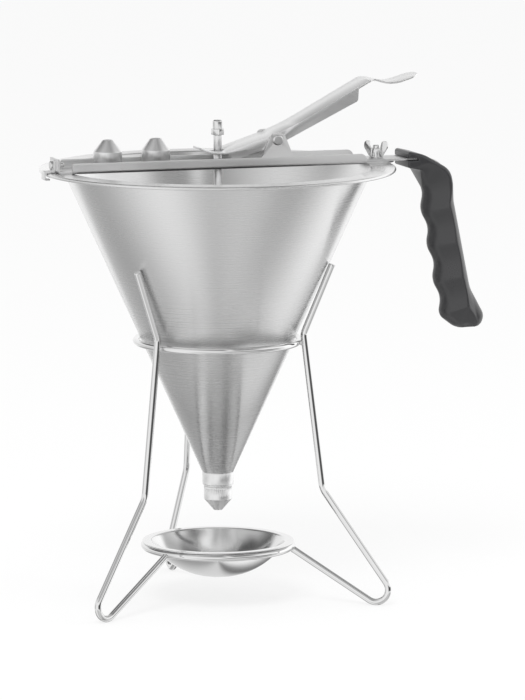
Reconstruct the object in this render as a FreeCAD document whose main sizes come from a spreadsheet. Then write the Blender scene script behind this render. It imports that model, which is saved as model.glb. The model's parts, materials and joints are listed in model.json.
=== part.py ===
import FreeCAD, Part
import math
import os
import types

import Sketcher

# Batter dispenser: a funnel with a lever-worked spout valve, on a wire stand over a drip dish.
# The origin is on the floor under the funnel's axis. X runs along the cross bar to the grip,
# and Z points up. Lengths are in millimetres.

DRIVING = {
    # Shared clearances and edges
    "weld_gap": 0.05,
    "hole_gap": 0.1,
    "seat_gap": 0.25,
    "edge_break": 0.4,
    # Wire stand
    "wire_dia": 4.2,
    "cradle_gap": 1.0,
    "cradle_drop": 107.3,
    "prong_rise": 48.8,
    "prong_bend_rise": 5.5,
    "prong_bend_round": 9.0,
    "knee_radius": 66.0,
    "knee_height": 72.0,
    "knee_round": 14.0,
    "foot_radius": 115.0,
    "foot_length": 17.5,
    "foot_round": 8.0,
    "leg_first_angle": 90.0,
    "dish_ring_gap": 1.8,
    "dish_ring_height": 34.4,
    # Drip dish
    "dish_sheet": 0.8,
    "dish_depth": 21.6,
    "dish_mouth_radius": 42.0,
    "dish_floor_radius": 26.9,
    "dish_rim_width": 5.0,
    "dish_round": 46.0,
    "dish_mouth_round": 1.2,
    "dish_seat_gap": 0.1,
    # Funnel
    "rim_height": 270.0,
    "rim_radius": 109.8,
    "rim_width": 14.0,
    "cone_height": 189.6,
    "funnel_sheet": 0.8,
    "rim_bend_round": 1.5,
    "bead_dia": 2.2,
    # Spout and nozzles
    "collar_radius": 9.7,
    "collar_length": 7.9,
    "spigot_radius": 7.0,
    "spigot_length": 7.5,
    "spout_bore_radius": 5.0,
    "seat_inset": 0.9,
    "thread_gap": 0.2,
    "nozzle_radius": 8.75,
    "nozzle_skirt": 9.0,
    "nozzle_skirt_round": 0.6,
    "nozzle_cone": 7.1,
    "nozzle_lip": 0.6,
    "nozzle_wall": 1.3,
    "fitted_hole_radius": 2.0,
    "spare_hole_radius": 2.5,
    "spare_hole_step": 0.4,
    # Cross bar
    "bar_sheet": 1.2,
    "bar_width": 27.5,
    "bar_height": 6.5,
    "bar_left_inset": 13.4,
    "bar_right_inset": 17.4,
    "bar_corner_round": 4.0,
    "bar_end_round": 1.5,
    "bar_fold_round": 2.0,
    "ear_foot_width": 20.4,
    "ear_foot_round": 2.0,
    "ear_top_width": 8.0,
    "ear_round": 3.8,
    "ear_above_pin": 4.2,
    "end_tab_inset": 5.6,
    "end_tab_width": 18.0,
    "end_tab_rise": 8.7,
    "end_tab_hole_offset": 5.2,
    "end_tab_hole_lift": 0.6,
    "end_tab_hole_radius": 1.7,
    "tongue_width": 22.0,
    "stud_inset": 6.8,
    "post_inset": 26.2,
    "post_pitch": 30.6,
    "post_height": 9.7,
    "post_base_radius": 8.2,
    "post_base_height": 1.7,
    "post_shank_radius": 2.5,
    # Clip, screw and nut at the left end
    "screw_radius": 1.5,
    "screw_rise": 4.6,
    "screw_head_radius": 2.75,
    "screw_head_height": 1.8,
    "screw_head_round": 0.8,
    "screw_slot_width": 0.8,
    "screw_length": 7.0,
    "screw_nut_flats": 5.5,
    "screw_nut_height": 2.4,
    "clip_width": 6.0,
    "clip_sheet": 1.0,
    "clip_below_tab": 1.0,
    "clip_rim_gap": 0.5,
    "clip_hook_drop": 1.2,
    "clip_bend_round": 0.3,
    # Stud and wing nut
    "stud_radius": 2.0,
    "stud_length": 10.4,
    "stud_gap": 0.08,
    "wing_hub_radius": 4.2,
    "wing_hub_top_radius": 3.4,
    "wing_hub_height": 6.0,
    "wing_root": 0.8,
    "wing_height": 10.5,
    "wing_shoulder": 6.5,
    "wing_reach": 7.6,
    "wing_top_reach": 7.4,
    "wing_shoulder_round": 3.0,
    "wing_tip_round": 2.0,
    "wing_dip_round": 1.6,
    "wing_sheet": 1.9,
    "wing_turn": -38.0,
    # Lever and its pivot
    "pivot_x": 34.5,
    "pivot_rise": 16.9,
    "pin_radius": 1.5,
    "pin_gap": 0.06,
    "pin_end": 1.4,
    "pin_head_radius": 3.2,
    "pin_head_height": 1.2,
    "pin_head_round": 0.9,
    "ring_sheet": 0.8,
    "ring_overhang": 1.6,
    "lever_sheet": 1.2,
    "lever_width": 24.6,
    "fork_rise": 10.2,
    "fork_left": -14.0,
    "fork_corner_round": 8.0,
    "fork_tip_x": -5.5,
    "fork_tip_slope": 0.36,
    "fork_bend_x": 1.7,
    "fork_bend_round": 6.0,
    "lever_bend_x": 41.3,
    "lever_bend_round": 160.0,
    "lever_slope": 0.322,
    "lever_end_inset": 13.0,
    "lever_end_round": 9.0,
    "lever_end_slope": 0.542,
    "tab_dip_reach": 13.2,
    "tab_dip_drop": 3.9,
    "tab_dip_round": 22.0,
    "tab_tip_reach": 18.6,
    "tab_tip_rise": 5.6,
    "tab_width": 19.0,
    "tab_corner_round": 7.0,
    "tab_neck": 3.0,
    "flange_left_x": 6.0,
    "flange_left_drop": 5.0,
    "flange_left_lean": 2.5,
    "flange_left_round": 1.5,
    "flange_below_pin": 3.4,
    "flange_pin_round": 10.0,
    "flange_right_reach": 9.8,
    "flange_right_depth": 8.5,
    "flange_right_lean": 0.4,
    "flange_right_round": 2.5,
    "slot_left": -5.2,
    "slot_right": 4.6,
    "slot_width": 5.8,
    # Return spring
    "spring_offset": 6.5,
    "spring_wire": 1.0,
    "spring_mean_radius": 3.2,
    "spring_turns": 5.5,
    "spring_end_pitch": 1.5,
    "spring_gap": 0.1,
    # Valve rod
    "rod_radius": 2.5,
    "rod_gap": 0.08,
    "rod_neck_radius": 2.0,
    "rod_neck_length": 6.0,
    "plug_radius": 7.4,
    "plug_nose_radius": 3.6,
    "plug_band": 1.2,
    "plug_round": 0.5,
    "plug_hub": 1.2,
    "plug_back_height": 5.0,
    "plug_socket_depth": 7.0,
    "cap_nut_rise": 20.0,
    "cap_nut_flats": 7.0,
    "cap_nut_hex_height": 3.7,
    "cap_nut_dome_height": 5.6,
    "cap_nut_dome_radius": 3.0,
    "cap_nut_dome_round": 1.4,
    # Strip inside the grip
    "strip_sheet": 1.2,
    "strip_behind_stud": 21.0,
    "strip_bend_reach": 41.0,
    "strip_bend_round": 14.0,
    "strip_drop": 74.0,
    "strip_gap": 0.2,
    # Grip: corners of its side outline, as reach from the stud and rise or drop from the rim
    "grip_width": 27.0,
    "grip_bevel_depth": 3.0,
    "grip_bevel_inset": 0.8,
    "grip_lean": 0.185,
    "lip_reach": 12.4,
    "lip_round": 1.9,
    "upper_lip_rise": 7.4,
    "lower_lip_drop": 3.8,
    "lip_gap": 0.8,
    "lip_mouth_reach": 23.5,
    "brow_reach": 27.5,
    "brow_rise": 4.6,
    "brow_round": 26.0,
    "shoulder_reach": 45.6,
    "shoulder_drop": 5.7,
    "shoulder_round": 13.0,
    "waist_reach": 60.6,
    "waist_drop": 80.5,
    "waist_round": 22.0,
    "tail_reach": 75.0,
    "tail_drop": 104.6,
    "tail_round": 6.5,
    "heel_reach": 53.4,
    "heel_drop": 106.8,
    "heel_round": 12.0,
    "hook_reach": 41.6,
    "hook_drop": 98.0,
    "hook_round": 7.0,
    "neck_reach": 25.4,
    "neck_drop": 5.0,
    "neck_round": 5.0,
    "finger_pitch": 22.0,
    "finger_top_drop": 20.5,
    "finger_reach": 31.4,
    "finger_depth": 3.6,
    "finger_round": 16.5,
    "finger_slope_drop": 8.0,
    "finger_slope_width": 8.4,
    "finger_edge_half": 6.4,
}

# A full round keeps this share, so that a short straight run is left between two of them.
NEARLY_FULL = 0.98
# Cutting tools run this far past the faces that they cut.
PAST = 1.0
FINGER_STEPS = 6

doc = FreeCAD.newDocument("batter_dispenser")
sheet = doc.addObject("Spreadsheet::Sheet", "sizes")
for row, (alias, number) in enumerate(DRIVING.items(), start=1):
    sheet.set(f"A{row}", alias)
    sheet.set(f"B{row}", str(number))
    sheet.setAlias(f"B{row}", alias)
doc.recompute()


class Size:
    """A length that carries both its number and the sheet formula that gives it."""

    def __init__(self, number, formula=None):
        self.number = float(number)
        self.formula = formula or f"({self.number:.6f})"

    def joined(self, other, number, sign):
        return Size(number, f"({self.formula} {sign} {other.formula})")

    def __add__(self, other):
        other = sized(other)
        return self.joined(other, self.number + other.number, "+")

    def __sub__(self, other):
        other = sized(other)
        return self.joined(other, self.number - other.number, "-")

    def __mul__(self, other):
        other = sized(other)
        return self.joined(other, self.number * other.number, "*")

    def __truediv__(self, other):
        other = sized(other)
        return self.joined(other, self.number / other.number, "/")

    def __neg__(self):
        return Size(0) - self

    def __radd__(self, other):
        return sized(other) + self

    def __rsub__(self, other):
        return sized(other) - self

    def __rmul__(self, other):
        return sized(other) * self


def sized(value):
    """Any plain number as a Size."""
    return value if isinstance(value, Size) else Size(value)


def root(value):
    """The square root of a Size."""
    return Size(math.sqrt(value.number), f"sqrt({value.formula})")


def slanted(slope):
    """How much longer a slanted line is than its upright run, for a given slope."""
    return root(1 + slope * slope)


s = types.SimpleNamespace(**{name: Size(number, f"sizes.{name}") for name, number in DRIVING.items()})


def kept(alias, value):
    """Keep a worked-out size in the sheet under its own name, so that others can refer to it."""
    row = len(DRIVING) + sum(1 for name in vars(s) if name not in DRIVING) + 1
    sheet.set(f"A{row}", alias)
    sheet.set(f"B{row}", "=" + value.formula.replace("sizes.", ""))
    sheet.setAlias(f"B{row}", alias)
    size = Size(value.number, f"sizes.{alias}")
    setattr(s, alias, size)
    return size


# Worked-out sizes

wire = kept("wire_radius", s.wire_dia / 2)
kept("collar_top", s.rim_height - s.cone_height)
kept("cone_top_radius", s.rim_radius - s.rim_width)
cone_slope = kept("cone_slope", (s.cone_top_radius - s.collar_radius) / s.cone_height)
kept("cradle_height", s.rim_height - s.cradle_drop)
kept("prong_height", s.cradle_height + s.prong_rise)
kept("prong_bend_height", s.cradle_height + s.prong_bend_rise)
kept("foot_inner_radius", s.foot_radius - s.foot_length)
kept("dish_ring_radius", s.dish_mouth_radius + s.dish_ring_gap + wire)
kept("bar_left", s.bar_left_inset - s.rim_radius)
kept("bar_right", s.rim_radius - s.bar_right_inset)
kept("first_post_x", s.bar_left + s.post_inset)
kept("second_post_x", s.first_post_x + s.post_pitch)
kept("end_tab_x", s.end_tab_inset - s.rim_radius)
kept("end_tab_top", s.rim_height + s.end_tab_rise)
kept("screw_height", s.rim_height + s.screw_rise)
kept("lever_end_x", s.rim_radius - s.lever_end_inset)
kept("flange_right_x", s.lever_end_x - s.flange_right_reach)
kept("stud_x", s.rim_radius - s.stud_inset)
kept("pivot_height", s.rim_height + s.pivot_rise)
kept("fork_height", s.rim_height + s.fork_rise)
kept("cap_nut_seat", s.rim_height + s.cap_nut_rise)


# Helpers for sketches and features

def bind(thing, prop, value):
    """Tie a property of a document object to a Size."""
    thing.setExpression(prop, sized(value).formula)


def new_body(name):
    body = doc.addObject("PartDesign::Body", name)
    body.Label = name
    return body


def place(body, x=0, y=0, z=0, axis=(0, 0, 1), angle=0):
    """Put a body at a point, turned about an axis."""
    body.Placement = FreeCAD.Placement(FreeCAD.Vector(), FreeCAD.Rotation(FreeCAD.Vector(*axis), angle))
    for letter, value in (("x", x), ("y", y), ("z", z)):
        bind(body, f"Placement.Base.{letter}", value)


def new_sketch(body, name, plane, offset=0):
    """A sketch on one of the body's own origin planes, moved along the plane's normal by offset."""
    sketch = body.newObject("Sketcher::SketchObject", name)
    support = next(item for item in body.Origin.OriginFeatures if item.Role == plane)
    sketch.AttachmentSupport = (support, [""])
    sketch.MapMode = "FlatFace"
    bind(sketch, "AttachmentOffset.Base.z", offset)
    return sketch


def tilt(sketch, lean):
    """Turn a flat sketch about its own Y so that its normal leans back by this slope."""
    degrees = math.degrees(math.atan(lean.number))
    turn = FreeCAD.Rotation(FreeCAD.Vector(0, -1, 0), degrees)
    sketch.AttachmentOffset = FreeCAD.Placement(sketch.AttachmentOffset.Base, turn)
    sketch.setExpression("AttachmentOffset.Rotation.Angle", f"atan({lean.formula})")


def pin_down(sketch, geometry, position, x, y):
    """Fix one point of a sketch at (x, y) by constraints that follow the sheet."""
    for kind, value, axis in (("DistanceX", sized(x), -2), ("DistanceY", sized(y), -1)):
        if value.number == 0:
            sketch.addConstraint(Sketcher.Constraint("PointOnObject", geometry, position, axis))
        else:
            rule = Sketcher.Constraint(kind, -1, 1, geometry, position, value.number)
            index = sketch.addConstraint(rule)
            sketch.setExpression(f"Constraints[{index}]", value.formula)


def rounded_corner(before, corner, after, radius):
    """Where a tangent arc of this radius starts, ends and has its middle, and whether it turns left."""
    into = (corner - before).normalize()
    out = (after - corner).normalize()
    turn = math.acos(max(-1.0, min(1.0, into.dot(out))))
    reach = radius * math.tan(turn / 2)
    start = corner - into * reach
    end = corner + out * reach
    towards = (out - into).normalize()
    middle = corner + towards * (radius / math.cos(turn / 2) - radius)
    return start, middle, end, into.cross(out).z > 0


def draw(sketch, corners, closed=True):
    """Straight runs between corners (x, y) or (x, y, radius), whose rounds are tangent arcs."""
    corners = [tuple(corner) + (0,) * (3 - len(corner)) for corner in corners]
    points = [FreeCAD.Vector(sized(x).number, sized(y).number, 0) for x, y, radius in corners]
    count = len(corners)
    starts = list(points)
    ends = list(points)
    arcs = {}
    for index, (x, y, radius) in enumerate(corners):
        if sized(radius).number > 0:
            before = points[index - 1]
            after = points[(index + 1) % count]
            start, middle, end, left = rounded_corner(before, points[index], after, sized(radius).number)
            starts[index], ends[index] = start, end
            arcs[index] = (Part.Arc(start, middle, end), left)
    runs = {}
    for index in range(count if closed else count - 1):
        runs[index] = sketch.addGeometry(Part.LineSegment(ends[index], starts[(index + 1) % count]), False)
    for index, (x, y, radius) in enumerate(corners):
        run_in = runs.get((index - 1) % count)
        run_out = runs.get(index)
        if index in arcs:
            curve, left = arcs[index]
            arc = sketch.addGeometry(curve, False)
            first, last = (1, 2) if left else (2, 1)
            vertex = sketch.addGeometry(Part.Point(points[index]), True)
            sketch.addConstraint(Sketcher.Constraint("Tangent", run_in, 2, arc, first))
            sketch.addConstraint(Sketcher.Constraint("Tangent", arc, last, run_out, 1))
            sketch.addConstraint(Sketcher.Constraint("PointOnObject", vertex, 1, run_in))
            sketch.addConstraint(Sketcher.Constraint("PointOnObject", vertex, 1, run_out))
            rule = sketch.addConstraint(Sketcher.Constraint("Radius", arc, sized(radius).number))
            sketch.setExpression(f"Constraints[{rule}]", sized(radius).formula)
            pin_down(sketch, vertex, 1, x, y)
        elif run_in is not None and run_out is not None:
            sketch.addConstraint(Sketcher.Constraint("Coincident", run_in, 2, run_out, 1))
            pin_down(sketch, run_out, 1, x, y)
        elif run_out is not None:
            pin_down(sketch, run_out, 1, x, y)
        else:
            pin_down(sketch, run_in, 2, x, y)


def draw_circle(sketch, x, y, radius):
    """A full circle whose centre and radius follow the sheet."""
    centre = FreeCAD.Vector(sized(x).number, sized(y).number, 0)
    circle = sketch.addGeometry(Part.Circle(centre, FreeCAD.Vector(0, 0, 1), sized(radius).number), False)
    rule = sketch.addConstraint(Sketcher.Constraint("Radius", circle, sized(radius).number))
    sketch.setExpression(f"Constraints[{rule}]", sized(radius).formula)
    pin_down(sketch, circle, 3, x, y)


def pad(body, sketch, length, both_ways=True):
    """Solid from a sketch, centred on the sketch's plane unless it goes one way only."""
    feature = body.newObject("PartDesign::Pad", f"{sketch.Name}_pad")
    feature.Profile = sketch
    feature.Midplane = both_ways
    bind(feature, "Length", length)
    sketch.Visibility = False
    return feature


def pocket(body, sketch, length, both_ways=True, reverse=False):
    """Cut by a sketch, centred on the sketch's plane unless it goes one way only."""
    feature = body.newObject("PartDesign::Pocket", f"{sketch.Name}_pocket")
    feature.Profile = sketch
    feature.Midplane = both_ways
    feature.Reversed = reverse
    bind(feature, "Length", length)
    sketch.Visibility = False
    return feature


def turned(name, corners, **where):
    """A turned piece: its half section, radius and height, spun about its own upright axis."""
    body = new_body(name)
    sketch = new_sketch(body, f"{name}_section", "XZ_Plane")
    draw(sketch, corners)
    spin = body.newObject("PartDesign::Revolution", f"{name}_turn")
    spin.Profile = sketch
    spin.ReferenceAxis = (sketch, ["V_Axis"])
    spin.Angle = 360
    place(body, **where)
    return body


def bent_strip(name, corners, width):
    """A piece of one side outline and one width, centred on the object's middle plane."""
    body = new_body(name)
    sketch = new_sketch(body, f"{name}_side", "XZ_Plane")
    draw(sketch, corners)
    pad(body, sketch, width)
    return body


def hexagon(flats):
    """The six corners of a nut with this distance across flats, two of them on the sketch's Y axis."""
    tip = flats / root(Size(3))
    return [(0, tip), (-flats / 2, tip / 2), (-flats / 2, -tip / 2),
            (0, -tip), (flats / 2, -tip / 2), (flats / 2, tip / 2)]


def cone_radius(height):
    """Outer radius of the funnel's cone at a height."""
    return s.collar_radius + cone_slope * (height - s.collar_top)


# Wire stand

kept("cradle_radius", cone_radius(s.cradle_height) + (wire + s.cradle_gap) * slanted(cone_slope))


def stand_ring(name, radius, height):
    ring = doc.addObject("Part::Torus", name)
    ring.Label = name
    bind(ring, "Radius1", radius)
    bind(ring, "Radius2", wire)
    bind(ring, "Placement.Base.z", height)
    return ring


stand_ring("cradle_ring", s.cradle_radius, s.cradle_height)
stand_ring("dish_ring", s.dish_ring_radius, s.dish_ring_height)


def stand_leg(name, angle):
    """One wire: a prong under the cone, the leg, its foot and the run back in to the dish ring."""
    body = new_body(name)
    tip_radius = cone_radius(s.prong_height) + (wire + s.seat_gap) * slanted(cone_slope)
    leg_run = s.cradle_height - s.knee_height
    lean = (s.knee_radius - s.cradle_radius - s.wire_dia) / leg_run
    beside_ring = s.cradle_radius + (s.wire_dia + s.weld_gap) * slanted(lean)
    leg_slope = (s.knee_radius - beside_ring) / leg_run
    bend_radius = beside_ring - s.prong_bend_rise * leg_slope
    rise = s.dish_ring_height - wire
    inward = s.foot_inner_radius - s.dish_ring_radius
    length = root(rise * rise + inward * inward)
    stop = (wire + s.weld_gap + s.weld_gap) / length
    end_radius = s.dish_ring_radius + inward * stop
    end_height = s.dish_ring_height - rise * stop
    path = new_sketch(body, f"{name}_path", "XZ_Plane")
    draw(path, [
        (tip_radius, s.prong_height),
        (bend_radius, s.prong_bend_height, s.prong_bend_round),
        (s.knee_radius, s.knee_height, s.knee_round),
        (s.foot_radius, wire, s.foot_round),
        (s.foot_inner_radius, wire, s.foot_round),
        (end_radius, end_height),
    ], closed=False)
    doc.recompute()
    section = body.newObject("Sketcher::SketchObject", f"{name}_section")
    section.AttachmentSupport = (path, ["Edge1"])
    section.MapMode = "NormalToEdge"
    draw_circle(section, 0, 0, wire)
    tube = body.newObject("PartDesign::AdditivePipe", f"{name}_wire")
    tube.Profile = section
    tube.Spine = (path, [f"Edge{number + 1}" for number in range(len(path.Shape.Edges))])
    path.Visibility = False
    section.Visibility = False
    place(body, angle=angle)
    return body


for order, name in enumerate(("leg_rear", "leg_front_left", "leg_front_right")):
    stand_leg(name, DRIVING["leg_first_angle"] + 120 * order)


# Drip dish

def drip_dish():
    """A spun bowl whose flat rim hangs on the dish ring."""
    seat = s.dish_ring_height + wire + s.dish_seat_gap
    top = seat + s.dish_sheet
    bottom = seat - s.dish_depth
    rim = s.dish_mouth_radius + s.dish_rim_width
    inner_shift = s.dish_sheet / 2
    return turned("drip_dish", [
        (0, bottom),
        (s.dish_floor_radius, bottom, s.dish_round),
        (s.dish_mouth_radius, seat, s.dish_mouth_round),
        (rim, seat),
        (rim, top),
        (s.dish_mouth_radius - inner_shift, top, s.dish_mouth_round + s.dish_sheet),
        (s.dish_floor_radius - inner_shift, bottom + s.dish_sheet, s.dish_round - s.dish_sheet),
        (0, bottom + s.dish_sheet),
    ])


drip_dish()


# Funnel

def funnel_shell():
    """A thin cone with a flat flange and a bead rolled under its edge."""
    across = s.funnel_sheet * slanted(cone_slope)
    under = s.rim_height - s.funnel_sheet
    bead_round = s.bead_dia / 2 * NEARLY_FULL
    bead_low = s.rim_height - s.bead_dia
    bead_in = s.rim_radius - s.bead_dia
    return turned("funnel_shell", [
        (s.collar_radius, s.collar_top),
        (cone_radius(under), under, s.rim_bend_round + s.funnel_sheet),
        (bead_in, under),
        (bead_in, bead_low, bead_round),
        (s.rim_radius, bead_low, bead_round),
        (s.rim_radius, s.rim_height, bead_round),
        (cone_radius(s.rim_height) - across, s.rim_height, s.rim_bend_round),
        (s.collar_radius - across, s.collar_top),
    ])


def spout_collar():
    """The turned outlet: a seat for the plug, a bore and a threaded spigot for a nozzle."""
    seat_radius = s.collar_radius - s.seat_inset
    seat_depth = seat_radius - s.spout_bore_radius
    collar_bottom = s.collar_top - s.collar_length
    spigot_bottom = collar_bottom - s.spigot_length
    return turned("spout_collar", [
        (s.spout_bore_radius, spigot_bottom),
        (s.spigot_radius - s.edge_break, spigot_bottom),
        (s.spigot_radius, spigot_bottom + s.edge_break),
        (s.spigot_radius, collar_bottom),
        (s.collar_radius - s.edge_break, collar_bottom),
        (s.collar_radius, collar_bottom + s.edge_break),
        (s.collar_radius, s.collar_top),
        (seat_radius, s.collar_top),
        (s.spout_bore_radius, s.collar_top - seat_depth),
    ])


def nozzle(name, hole_radius, **where):
    """A screw-on nozzle, drawn with its open end down and its hole at the top."""
    height = s.nozzle_skirt + s.nozzle_cone
    bore = s.spigot_radius + s.thread_gap
    shoulder = s.nozzle_skirt + s.edge_break
    return turned(name, [
        (bore, 0),
        (s.nozzle_radius, 0),
        (s.nozzle_radius, s.nozzle_skirt, s.nozzle_skirt_round),
        (hole_radius + s.nozzle_lip, height),
        (hole_radius, height),
        (hole_radius, height - s.nozzle_wall),
        (bore, shoulder),
    ], **where)


funnel_shell()
spout_collar()
nozzle("nozzle_fitted", s.fitted_hole_radius,
       z=s.collar_top - s.collar_length, axis=(1, 0, 0), angle=180)


# Cross bar and what stands on it

bar_floor = s.rim_height + s.bar_sheet
bar_top = s.rim_height + s.bar_height
inner_half = s.bar_width / 2 - s.bar_sheet
tab_inner_x = s.end_tab_x + s.bar_sheet
strip_top = bar_floor + s.strip_sheet


def cross_bar():
    """A folded channel with two ears for the lever's pin, a tongue at each end and an upturned tab."""
    body = new_body("cross_bar")
    ear_top = s.pivot_height + s.ear_above_pin
    foot = s.ear_foot_width / 2
    top = s.ear_top_width / 2
    side = new_sketch(body, "bar_side", "XZ_Plane")
    draw(side, [
        (s.bar_left, s.rim_height),
        (s.bar_right, s.rim_height),
        (s.bar_right, bar_top, s.bar_corner_round),
        (s.pivot_x + foot, bar_top, s.ear_foot_round),
        (s.pivot_x + top, ear_top, s.ear_round),
        (s.pivot_x - top, ear_top, s.ear_round),
        (s.pivot_x - foot, bar_top, s.ear_foot_round),
        (s.bar_left, bar_top, s.bar_end_round),
    ])
    pad(body, side, s.bar_width)

    hollow = new_sketch(body, "bar_hollow", "YZ_Plane")
    inner_round = s.bar_fold_round - s.bar_sheet
    draw(hollow, [
        (-inner_half, bar_floor, inner_round),
        (inner_half, bar_floor, inner_round),
        (inner_half, ear_top + PAST),
        (-inner_half, ear_top + PAST),
    ])
    pocket(body, hollow, (s.bar_right - s.bar_left) * 3)

    for hand, name in ((-1, "near"), (1, "far")):
        fold = new_sketch(body, f"{name}_fold", "YZ_Plane")
        edge = s.bar_width / 2 * hand
        draw(fold, [
            (edge + PAST * hand, s.rim_height - PAST),
            (edge + PAST * hand, s.rim_height + s.bar_fold_round),
            (edge, s.rim_height + s.bar_fold_round),
            (edge, s.rim_height, s.bar_fold_round * NEARLY_FULL),
            (edge - s.bar_fold_round * hand, s.rim_height),
            (edge - s.bar_fold_round * hand, s.rim_height - PAST),
        ])
        pocket(body, fold, (s.bar_right - s.bar_left) * 3)

    tab = new_sketch(body, "left_tab", "XZ_Plane")
    draw(tab, [
        (s.bar_left + PAST, s.rim_height),
        (s.bar_left + PAST, bar_floor),
        (tab_inner_x, bar_floor, s.bar_fold_round - s.bar_sheet),
        (tab_inner_x, s.end_tab_top),
        (s.end_tab_x, s.end_tab_top),
        (s.end_tab_x, s.rim_height, s.bar_fold_round),
    ])
    pad(body, tab, s.end_tab_width)

    tongue = new_sketch(body, "right_tongue", "XY_Plane", s.rim_height)
    half = s.tongue_width / 2
    draw(tongue, [
        (s.bar_right - PAST, -half),
        (s.stud_x + half, -half, half * NEARLY_FULL),
        (s.stud_x + half, half, half * NEARLY_FULL),
        (s.bar_right - PAST, half),
    ])
    pad(body, tongue, s.bar_sheet, both_ways=False)

    holes = new_sketch(body, "floor_holes", "XY_Plane", s.rim_height)
    draw_circle(holes, s.stud_x, 0, s.stud_radius + s.hole_gap)
    draw_circle(holes, 0, 0, s.rod_radius + s.rod_gap)
    draw_circle(holes, s.first_post_x, 0, s.post_shank_radius + s.hole_gap)
    draw_circle(holes, s.second_post_x, 0, s.post_shank_radius + s.hole_gap)
    pocket(body, holes, s.bar_sheet * 3)

    pin_hole = new_sketch(body, "pin_holes", "XZ_Plane")
    draw_circle(pin_hole, s.pivot_x, s.pivot_height, s.pin_radius + s.hole_gap)
    pocket(body, pin_hole, s.bar_width + 2 * PAST)

    tab_holes = new_sketch(body, "tab_holes", "YZ_Plane")
    draw_circle(tab_holes, 0, s.screw_height, s.screw_radius + s.hole_gap)
    spare_height = s.screw_height + s.end_tab_hole_lift
    draw_circle(tab_holes, s.end_tab_hole_offset, spare_height, s.end_tab_hole_radius)
    pocket(body, tab_holes, -s.end_tab_x * 3)
    return body


def nozzle_post(name, x):
    """A threaded boss with a seat for a spare nozzle, riveted into the bar's floor by its shank."""
    turned(name, [
        (0, -s.bar_sheet),
        (s.post_shank_radius, -s.bar_sheet),
        (s.post_shank_radius, 0),
        (s.post_base_radius, 0),
        (s.post_base_radius, s.post_base_height - s.weld_gap),
        (s.spigot_radius, s.post_base_height - s.weld_gap),
        (s.spigot_radius, s.post_height - s.edge_break),
        (s.spigot_radius - s.edge_break, s.post_height),
        (0, s.post_height),
    ], x=x, z=bar_floor)


cross_bar()
for order, post_x in enumerate((s.first_post_x, s.second_post_x)):
    nozzle_post(f"nozzle_post_{order + 1}", post_x)
    nozzle(f"nozzle_spare_{order + 1}", s.spare_hole_radius + s.spare_hole_step * order,
           x=post_x, z=bar_floor + s.post_base_height)


# Clip, screw and nut that hold the bar's left end on the rim

def rim_clip():
    """A bent strip that comes over the rim and hooks under its bead."""
    plate = s.end_tab_x
    run_low = s.rim_height + s.clip_rim_gap
    run_high = run_low + s.clip_sheet
    inner = -s.rim_radius - s.clip_rim_gap
    outer = inner - s.clip_sheet
    hook_high = s.rim_height - s.bead_dia - s.clip_hook_drop
    hook_low = hook_high - s.clip_sheet
    hook_end = -s.rim_radius + s.bead_dia
    top = s.end_tab_top - s.clip_below_tab
    inside = s.clip_bend_round
    outside = s.clip_bend_round + s.clip_sheet
    body = bent_strip("rim_clip", [
        (plate, run_low),
        (plate, top),
        (plate - s.clip_sheet, top),
        (plate - s.clip_sheet, run_high, inside),
        (outer, run_high, outside),
        (outer, hook_low, outside),
        (hook_end, hook_low),
        (hook_end, hook_high),
        (inner, hook_high, inside),
        (inner, run_low, inside),
    ], s.clip_width)
    hole = new_sketch(body, "clip_hole", "YZ_Plane", plate)
    draw_circle(hole, 0, s.screw_height, s.screw_radius + s.hole_gap)
    pocket(body, hole, s.clip_sheet * 4)
    return body


def clip_screw():
    """A pan head screw with a slot, its shank pointing in along the bar."""
    body = turned("clip_screw", [
        (0, -s.screw_length),
        (s.screw_radius - s.edge_break, -s.screw_length),
        (s.screw_radius, s.edge_break - s.screw_length),
        (s.screw_radius, 0),
        (s.screw_head_radius, 0),
        (s.screw_head_radius, s.screw_head_height, s.screw_head_round),
        (0, s.screw_head_height),
    ], x=s.end_tab_x - s.clip_sheet, z=s.screw_height, axis=(0, 1, 0), angle=-90)
    slot = new_sketch(body, "screw_slot", "XY_Plane", s.screw_head_height)
    half = s.screw_head_radius + PAST
    side = s.screw_slot_width / 2
    draw(slot, [(-half, -side), (half, -side), (half, side), (-half, side)])
    pocket(body, slot, s.screw_head_height)
    return body


def clip_nut():
    body = new_body("clip_nut")
    outline = new_sketch(body, "clip_nut_outline", "XY_Plane")
    draw(outline, hexagon(s.screw_nut_flats))
    draw_circle(outline, 0, 0, s.screw_radius + s.hole_gap)
    pad(body, outline, s.screw_nut_height, both_ways=False)
    body.Placement = FreeCAD.Placement(FreeCAD.Vector(), FreeCAD.Rotation(FreeCAD.Vector(0, 1, 0), 90))
    bind(body, "Placement.Base.x", tab_inner_x + s.weld_gap)
    bind(body, "Placement.Base.z", s.screw_height)
    return body


rim_clip()
clip_screw()
clip_nut()


# Stud and wing nut that clamp the bar's right end and the grip's strip

turned("rim_stud", [
    (0, 0),
    (s.stud_radius, 0),
    (s.stud_radius, s.stud_length - s.edge_break),
    (s.stud_radius - s.edge_break, s.stud_length),
    (0, s.stud_length),
], x=s.stud_x, z=s.rim_height)


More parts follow.
